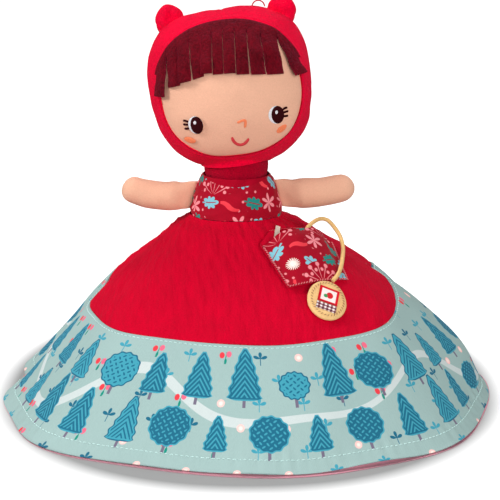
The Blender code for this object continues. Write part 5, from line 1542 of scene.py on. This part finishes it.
# Strips of the fringe, right to left on the doll: the slit's top and foot on either side, in
# millimetres from the middle of the head, and how far the foot stands off the face
FRINGE_STRIPS = (
    ((-47.6, 19.0), (-50.0, 4.2), (-39.6, 30.2), (-42.8, 3.6), 2.2),
    ((-39.6, 30.2), (-40.6, 9.4), (-31.8, 36.3), (-31.8, 11.1), 0.4),
    ((-31.8, 36.3), (-32.6, 12.2), (-23.3, 39.9), (-23.7, 13.6), 2.6),
    ((-23.3, 39.9), (-23.2, 14.0), (-15.5, 41.7), (-15.6, 15.8), 0.3),
    ((-15.5, 41.7), (-17.6, 17.2), (-7.7, 42.8), (-9.7, 16.9), 2.6),
    ((-7.7, 42.8), (-9.7, 16.0), (-0.2, 44.3), (-2.6, 15.8), 0.6),
    ((-0.2, 44.3), (-2.5, 15.7), (7.8, 43.3), (5.6, 15.3), 1.7),
    ((7.8, 43.3), (5.8, 14.3), (15.7, 41.7), (14.4, 13.6), 0.7),
    ((15.7, 41.7), (15.2, 13.0), (24.4, 37.9), (25.0, 12.0), 1.6),
    ((24.4, 37.9), (25.6, 11.5), (35.2, 34.6), (36.6, 10.1), 0.8),
    ((35.2, 34.6), (42.7, 7.3), (47.6, 18.6), (50.2, 8.0), 2.2),
)
FRINGE_ROOT = 0.0018
FRINGE_SLIT_GAP = 0.00012


def fringe_root(across, shape):
    """Place of the fringe's sewn edge over a place across, just inside the hood's edge."""
    width, height = shape.open_width + FRINGE_ROOT, shape.open_height + FRINGE_ROOT
    share = np.clip(np.abs(across) / width, 0.0, 0.9999)
    return shape.open_rise + height * (1.0 - share ** 2.35) ** (1.0 / 2.35)


def add_fringe(shape, place):
    """Fleece hair: strips cut side by side, each crowned, and curling off the face at its foot."""
    points, faces, maps = [], [], []
    first = 0
    rows, columns, upper_rows = 34, 13, 10
    sides = np.linspace(0.0, 1.0, columns)[None, :]
    last_strip = len(FRINGE_STRIPS) - 1
    for number, (left_top, left_foot, right_top, right_foot, stand) in enumerate(FRINGE_STRIPS):
        corners = np.array([left_top, left_foot, right_top, right_foot]) * MM
        slit = corners[0] + (corners[2] - corners[0]) * sides[0, :, None]
        foot = corners[1] + (corners[3] - corners[1]) * sides[0, :, None]
        end_shift = (1.0 - sides[0]) * (number == 0) * -0.0018 + sides[0] * (number == last_strip) * 0.0018
        root_across = slit[:, 0] + end_shift
        root = np.stack([root_across, fringe_root(root_across, shape)], axis=-1)
        upper = np.linspace(0.0, 1.0, upper_rows + 1)[:-1, None, None]
        lower = np.linspace(0.0, 1.0, rows - upper_rows)[:, None, None]
        spot = np.concatenate([root * (1.0 - upper) + slit * upper, slit * (1.0 - lower) + foot * lower])
        down = np.concatenate([np.zeros(upper_rows), lower[:, 0, 0]])[:, None]
        slit_gap = FRINGE_SLIT_GAP * smooth_step(down, 0.0, 0.10)
        spot[..., 0] += slit_gap * (1.0 - 2.0 * sides)
        rooted = np.concatenate([upper[:, 0, 0], np.ones(rows - upper_rows)])[:, None]
        edge = np.abs(2.0 * sides - 1.0)
        crown = 0.0005 * (1.0 - edge ** 2) * smooth_step(down, 0.02, 0.2)
        round_edge = 0.0009 * np.clip((edge - 0.80) / 0.20, 0.0, 1.0) ** 2 * smooth_step(down, 0.0, 0.06)
        curl = stand * MM * down ** 1.5
        surface = shape.front(spot)
        wave = (0.0002 * ripples(surface, 0.020, 90)
                + 0.0003 * ripples(surface, 0.012, 91 + number) * smooth_step(down, 0.05, 0.5))
        bed = -0.0024 + 0.0026 * smooth_step(rooted, 0.0, 0.5)
        thick = 0.0019 - round_edge - 0.0006 * smooth_step(down, 0.97, 1.0)
        lift = bed + curl + wave * rooted + crown
        outer = shape.front(spot, lift + thick)
        inner = shape.front(spot, lift + round_edge * 0.6)
        width = np.linalg.norm(spot[:, -1] - spot[:, 0], axis=-1)[:, None]
        from_edge = 0.5 * (1.0 - edge) * width + 0.002 * (down < 0.01)
        uv = np.stack(np.broadcast_arrays(from_edge, down), axis=-1)
        strip_points, strip_faces, strip_maps = shell_parts(outer, inner, closed=False, uv=uv)
        points.append(strip_points)
        faces += [face + first for face in strip_faces]
        maps += strip_maps
        first += len(strip_points)
    piece = add_piece("fleece_fringe", place.world(np.concatenate(points)), faces, FRINGE_FLEECE, maps)
    finish(piece, "head", "hair_fringe", "hair_fringe")


def add_ear(name, shape, place, angle, lean, node, seed):
    """A padded point of the hood: two rounded triangles sewn together, fullest at the middle."""
    corner = shape.rim(np.array(angle))
    sweep = np.linspace(0.0, FULL_TURN, 96, endpoint=False)
    rise = np.sin(sweep)
    narrow = (1.0 - 0.42 * np.maximum(rise, 0.0) ** 2) * (0.80 + 0.20 * np.abs(rise))
    outline = np.stack([0.0120 * np.cos(sweep) * narrow, 0.0222 * 0.5 * (1.0 + rise) - 0.0100], axis=-1)
    middle = outline.mean(axis=0)
    swing = np.linspace(0.0, math.pi, 34)[1:-1, None]
    flat = middle + (outline - middle)[None] * (np.sin(swing) ** 0.7)[..., None]
    rings = np.stack([flat[..., 0], -0.0046 * np.cos(swing) + 0.0 * flat[..., 0], flat[..., 1]], axis=-1)
    pinch = 0.0005 * np.exp(-(np.cos(swing) / 0.06) ** 2)
    rings[..., 1] += 0.0005 * ripples(rings, 0.010, seed)
    rings[..., [0, 2]] += pinch[..., None] * np.stack([np.cos(sweep), rise], axis=-1)
    cosine, sine = math.cos(-lean), math.sin(-lean)
    turned = np.stack([rings[..., 0] * cosine + rings[..., 2] * sine, rings[..., 1],
                       rings[..., 2] * cosine - rings[..., 0] * sine], axis=-1)
    turned = turned + np.array([corner[0], 0.0, corner[1]])
    pole = np.array([middle[0] * cosine + middle[1] * sine, 0.0, middle[1] * cosine - middle[0] * sine])
    pole += (corner[0], 0.0, corner[1])
    piece = add_loft(name, place.world(turned), FLEECE, place.world(pole - (0.0, 0.0046, 0.0)),
                     place.world(pole + (0.0, 0.0046, 0.0)))
    finish(piece, "head", node, node)


def add_loop(shape, place):
    """A small loop of thread for hanging, sewn in the top of the hood."""
    swing = np.linspace(0.0, math.pi, 30)
    path = np.stack([0.0256 + 0.0044 * np.cos(swing), np.zeros(30), 0.0535 + 0.0046 * np.sin(swing)],
                    axis=-1)
    along = np.gradient(path, axis=0)
    along /= np.linalg.norm(along, axis=1, keepdims=True)
    side = np.cross(along, (0.0, 1.0, 0.0))
    turn = np.linspace(0.0, FULL_TURN, 10, endpoint=False)[None, :, None]
    rings = path[:, None] + 0.00045 * (side[:, None] * np.cos(turn) + np.array([0.0, 1.0, 0.0]) * np.sin(turn))
    piece = add_loft("hanging_loop", place.world(rings), SCARLET_THREAD, place.world(path[0]),
                     place.world(path[-1]))
    finish(piece, "head", "hood")


# ---------------------------------------------------------------- pouch and charm

def pouch_sheet(name, node, across, up, lift, cloth, thickness):
    """One cloth of the pouch over a grid of places, with its map in metres."""
    outer = pouch_point(across, up, lift + thickness)
    inner = pouch_point(across, up, lift)
    piece = add_shell(name, outer, inner, cloth, closed=False, uv=np.stack([across, up], axis=-1))
    return finish(piece, "pouch", node, node)


def add_pouch():
    """Velour back, printed front with an open mouth, ribbon strap and the whipped edges."""
    share_u, share_v = np.meshgrid(np.linspace(-1.0, 1.0, 73), np.linspace(0.0, 1.0, 49))
    flare = POUCH_FLARE * np.clip(share_u, 0.0, 1.0) * (2.0 * share_v - 1.0)
    back_up = -POUCH_HALF_HEIGHT + (2.0 * POUCH_HALF_HEIGHT + POUCH_BACK_RISE) * share_v
    taper = np.clip((back_up - POUCH_HALF_HEIGHT) / POUCH_BACK_RISE, 0.0, 1.0)
    back_across = (share_u * POUCH_HALF_WIDTH + flare) * (1.0 - POUCH_BACK_TAPER * taper)
    back = pouch_sheet("pouch_back_cloth", "pouch_back", back_across, back_up,
                       POUCH_LIFT + 0.0 * share_u, POUCH_VELOUR, POUCH_WALL)
    front_lift = POUCH_LIFT + POUCH_WALL + 0.0003
    bow = POUCH_MOUTH_BOW * share_v * share_u ** 2
    inside = (1.0 - np.abs(share_u)) * POUCH_HALF_WIDTH / POUCH_SEAM_WIDTH - 1.0
    swell = (smooth_step(inside, -0.4, 4.2) * (1.0 - np.abs(share_u) ** 2.3)
             * np.sin(0.5 * math.pi * share_v) ** 0.9)
    across = share_u * POUCH_HALF_WIDTH + flare
    up = POUCH_HALF_HEIGHT * (2.0 * share_v - 1.0) - bow
    spots = np.stack([across, up, 0.0 * up], axis=-1)
    dent = 0.0005 * ripples(spots, 0.018, 71) * swell
    front = pouch_sheet("pouch_front_cloth", "pouch_front", across, up,
                        front_lift + POUCH_BULGE * swell + dent, POUCH_COTTON, 0.0008)
    foot, top = np.array(STRAP_FOOT), np.array(STRAP_TOP)
    sideways = np.array([top[1] - foot[1], foot[0] - top[0]]) / np.linalg.norm(top - foot)
    side, along = np.meshgrid(np.linspace(-0.5, 0.5, 7) * STRAP_WIDTH, np.linspace(0.0, 1.0, 30))
    spot = foot + (top - foot) * along[..., None] + sideways * side[..., None]
    strap = pouch_sheet("ribbon_strap", "pouch_strap", spot[..., 0], spot[..., 1],
                        front_lift + 0.0001 * np.cos(along * 60.0), CREAM_RIBBON, 0.0007)
    # Whipped edge down the side, along the foot and up again
    edge_u = np.concatenate([np.full(40, -1.0), np.linspace(-1.0, 1.0, 60)[1:-1], np.full(40, 1.0)])
    edge_v = np.concatenate([np.linspace(0.96, 0.0, 40), np.zeros(58), np.linspace(0.0, 0.96, 40)])
    edge_across = edge_u * (POUCH_HALF_WIDTH - 0.0002) + POUCH_FLARE * np.clip(edge_u, 0.0, 1.0) * (
        2.0 * edge_v - 1.0)
    edge_up = POUCH_HALF_HEIGHT * (2.0 * edge_v - 1.0) - POUCH_MOUTH_BOW * edge_v * edge_u ** 2 + 0.0002
    path = pouch_point(edge_across, edge_up, front_lift + 0.0007)
    outward = np.broadcast_to(pouch_frame()[3], path.shape)
    add_stitches("pouch_edge_stitching", path, outward, 0.0021, 0.0021, 0.00036, PINK_THREAD, "pouch",
                 "pouch_front", lean=math.radians(38.0))
    edge_u = np.linspace(-0.98, 0.98, 60)
    flap = pouch_point(edge_u * POUCH_HALF_WIDTH * (1.0 - POUCH_BACK_TAPER)
                       + POUCH_FLARE * np.clip(edge_u, 0.0, 1.0) * (1.0 - POUCH_BACK_TAPER),
                       POUCH_HALF_HEIGHT + POUCH_BACK_RISE, POUCH_LIFT + 0.5 * POUCH_WALL)
    add_stitches("pouch_back_raw_edge", flap, np.broadcast_to(pouch_frame()[2], flap.shape),
                 0.0012, 0.0013, 0.00045, PINK_THREAD, "pouch", "pouch_back", lean=math.radians(20.0))
    add_stitches("pouch_edge_roll", path - outward * 0.0004, outward, 0.0016, 0.0019, 0.0005,
                 SCARLET_THREAD, "pouch", "pouch_front", lean=math.radians(8.0))
    return back, front, strap


def charm_point(across, up, lift):
    """A point of the charm, across and up over the skirt from the charm's middle, then lifted."""
    turned_across = np.asarray(across) * math.cos(CHARM_TURN) + np.asarray(up) * math.sin(CHARM_TURN)
    turned_up = np.asarray(up) * math.cos(CHARM_TURN) - np.asarray(across) * math.sin(CHARM_TURN)
    share = CHARM_SHARE - turned_up / skirt_slope_length()
    radius = WAIST_HALF_WIDTH + (HEM_RADIUS - WAIST_HALF_WIDTH) * share
    angle = CHARM_ANGLE + np.degrees(turned_across / radius)
    rise = CHARM_LIFT + (CHARM_TOP_LIFT - CHARM_LIFT) * np.clip(turned_up / CHARM_HALF_HEIGHT, 0.0, 1.0)
    angle, share, lift = np.broadcast_arrays(angle, share, lift + rise)
    return skirt_point(angle, share, lift)


def add_charm():
    """Felt oval in two layers with a stitched edge, a framed patch and a gingham patch."""
    turn = np.linspace(0.0, FULL_TURN, 96, endpoint=False)
    rings = []
    for swing in np.linspace(0.0, math.pi, 26)[1:-1]:
        spread = math.sin(swing) ** 0.35
        height = 0.5 * CHARM_THICKNESS * (1.0 + math.cos(swing))
        groove = -0.0003 * math.exp(-(math.cos(swing) / 0.12) ** 2)
        rings.append(charm_point((CHARM_HALF_WIDTH + groove) * spread * np.cos(turn),
                                 (CHARM_HALF_HEIGHT + groove) * spread * np.sin(turn), height))
    pad = add_loft("felt_charm", np.array(rings), TAN_FELT, charm_point(0.0, 0.0, CHARM_THICKNESS),
                   charm_point(0.0, 0.0, 0.0))
    finish(pad, "charm", "charm_pad", "charm_pad")
    pieces = [pad]
    turn = np.linspace(0.0, FULL_TURN, 181)
    path = charm_point(0.80 * CHARM_HALF_WIDTH * np.cos(turn), 0.84 * CHARM_HALF_HEIGHT * np.sin(turn),
                       CHARM_THICKNESS * 0.985)
    normal = charm_point(0.0, 0.0, 1.0) - charm_point(0.0, 0.0, 0.0)
    pieces.append(add_stitches("charm_stitching", path, np.broadcast_to(normal, path.shape), 0.0022,
                               0.0019, 0.00026, BROWN_THREAD, "charm", "charm_pad",
                               lean=math.radians(50.0)))
    over = CHARM_THICKNESS + 0.0001
    for name, node, half_width, half_height, rise, cloth in (
            ("framed_patch", "charm_patch", 0.0060, 0.0060, 0.0026, PATCH_COTTON),
            ("gingham_patch", "charm_gingham", 0.0060, 0.0028, -0.0068, GINGHAM)):
        grid_u, grid_v = np.meshgrid(np.linspace(-half_width, half_width, 13),
                                     np.linspace(-half_height, half_height, 13))
        patch = add_shell(name, charm_point(grid_u, grid_v + rise, over + 0.0005),
                          charm_point(grid_u, grid_v + rise, over), cloth, closed=False,
                          uv=np.stack([grid_u, grid_v], axis=-1) / MM)
        finish(patch, "charm", node, node)
        pieces.append(patch)
    return pieces


# ---------------------------------------------------------------- stage

def add_stage():
    """Floor that keeps its grey round the hem, as painted shade over the real shadow, and glows white further
    out; white surroundings and soft studio lamps.
    """
    side = FLOOR_REACH
    mesh = bpy.data.meshes.new("floor")
    mesh.from_pydata([(-side, -side, 0.0), (side, -side, 0.0), (side, side, 0.0), (-side, side, 0.0)],
                     [], [(0, 1, 2, 3)])
    floor = bpy.data.objects.new("floor", mesh)
    bpy.context.collection.objects.link(floor)
    made = bpy.data.materials.new("floor_glow_and_painted_shade")
    made.use_nodes = True
    tree = made.node_tree
    shader = tree.nodes["Principled BSDF"]
    shader.inputs["Base Color"].default_value = (*FLOOR_SHADE_GREY, 1.0)
    shader.inputs["Roughness"].default_value = 0.9
    shader.inputs["Specular IOR Level"].default_value = 0.1
    # Away from the doll the floor glows for the camera, so that it stays white into the distance. Nearer the
    # hem it keeps its grey colour, a ring of painted shade added to the lamps' real shadow; the glow also
    # paints out the lamps' shadow further from the doll.
    rays = tree.nodes.new("ShaderNodeLightPath")
    across, back, _ = separate(tree, tree.nodes.new("ShaderNodeTexCoord").outputs["Object"])
    reach = ((abs(across) * FLOOR_GLOW_SLIM).power(FLOOR_GLOW_POWER)
             + abs(back).power(FLOOR_GLOW_POWER)).power(1.0 / FLOOR_GLOW_POWER)
    away = ((reach - FLOOR_GLOW_START) / FLOOR_GLOW_WIDTH).most(0.0).least(1.0)
    shader.inputs["Emission Color"].default_value = (1.0, 1.0, 1.0, 1.0)
    tree.links.new((Term(tree, rays.outputs["Is Camera Ray"]) * away).socket,
                   shader.inputs["Emission Strength"])
    mesh.materials.append(made)
    world = bpy.data.worlds.new("studio")
    bpy.context.scene.world = world
    world.use_nodes = True
    tree = world.node_tree
    background = tree.nodes["Background"]
    background.inputs["Color"].default_value = (1.0, 1.0, 1.0, 1.0)
    rays = tree.nodes.new("ShaderNodeLightPath")
    seen = Term(tree, rays.outputs["Is Camera Ray"]).most(Term(tree, rays.outputs["Is Glossy Ray"]))
    tree.links.new((seen * (1.0 - WORLD_LIGHT) + WORLD_LIGHT).socket, background.inputs["Strength"])
    for name, place, size, energy in LAMPS:
        data = bpy.data.lights.new(name, "AREA")
        data.size = size
        data.energy = energy
        lamp = bpy.data.objects.new(name, data)
        lamp.location = place
        aim = np.array([0.0, 0.0, 0.12]) - np.array(place)
        flat = math.hypot(aim[0], aim[1])
        lamp.rotation_euler = (math.atan2(flat, -aim[2]), 0.0, math.atan2(aim[1], aim[0]) - 0.5 * math.pi)
        bpy.context.collection.objects.link(lamp)
    bpy.context.scene.view_settings.view_transform = "Standard"


# ---------------------------------------------------------------- the doll

add_camera()
cord, route = add_cord()
add_stage()
charm_pieces = add_charm()
panel, band, lining = add_skirt()
back, front, strap = add_pouch()

add_bodice("bodice_cover", "bodice", UPPER, BODICE_COTTON, -0.0038, 1.0, NECK_RADIUS, ("torso_filling",))
add_neck("neck_cover", NECK, NECK_RADIUS, SHADED_NECK_FLEECE, "neck", "neck_filling", "neck_filling")
for label, side, length, seam_height, raised, path_turn in (
        ("left", 1.0, ARM_LENGTH, ARM_SEAM_HEIGHT, ARM_RAISE, ARM_PATH_TURN),
        ("right", -1.0, ARM_LENGTH - RIGHT_ARM_SHORTER, ARM_SEAM_HEIGHT - RIGHT_ARM_DROP,
         RIGHT_ARM_RAISE, RIGHT_ARM_PATH_TURN)):
    add_arm(f"jersey_arm_{label}", f"arm_{label}", UPPER, side, length, seam_height, 1.0, raised,
            path_turn, 1.0, 101)
add_hood("fleece_hood", "hood", "head_filling", GIRL, HEAD, FLEECE, "head",
         np.array([-HEAD_SIDE_OFFSET, 0.0, -HEAD_RISE]), NECK_RADIUS, 41)
add_face("jersey_face", "face_panel", GIRL, HEAD, "head")
add_features("", GIRL, HEAD, "head", 1.0)
add_fringe(GIRL, HEAD)
for name, angle, lean, node, seed in (("fleece_ear_left", 50.0, -23.0, "ear_left", 81),
                                      ("fleece_ear_right", 125.2, 9.0, "ear_right", 85)):
    add_ear(name, GIRL, HEAD, math.radians(angle), math.radians(lean), node, seed)
add_loop(GIRL, HEAD)

add_bodice("second_bodice_cover", "second_bodice", LOWER, PINK_COTTON, 0.0050, SECOND_TORSO_SHARE,
           SECOND_NECK_RADIUS, ())
add_neck("second_neck_cover", SECOND_NECK, SECOND_NECK_RADIUS, PINK_COTTON, "second_head",
         "second_neck_filling", "second_neck_filling")
for label, side in (("left", 1.0), ("right", -1.0)):
    add_arm(f"second_jersey_arm_{label}", f"second_arm_{label}", LOWER, side, SECOND_ARM_LENGTH,
            SECOND_ARM_SEAM_HEIGHT, SECOND_ARM_SLIM_SHARE, SECOND_ARM_RAISE, ARM_PATH_TURN,
            SECOND_TORSO_SHARE, 111)
add_hood("second_cotton_cap", "second_cap", "second_head_filling", SECOND, SECOND_HEAD, CAP_COTTON,
         "second_head", np.array([0.0, 0.0, -SECOND_HEAD_RISE]), SECOND_NECK_RADIUS, 141, flat=0.0002)
add_face("second_jersey_face", "second_face_panel", SECOND, SECOND_HEAD, "second_head")
add_features("second_", SECOND, SECOND_HEAD, "second_head", 0.8265)
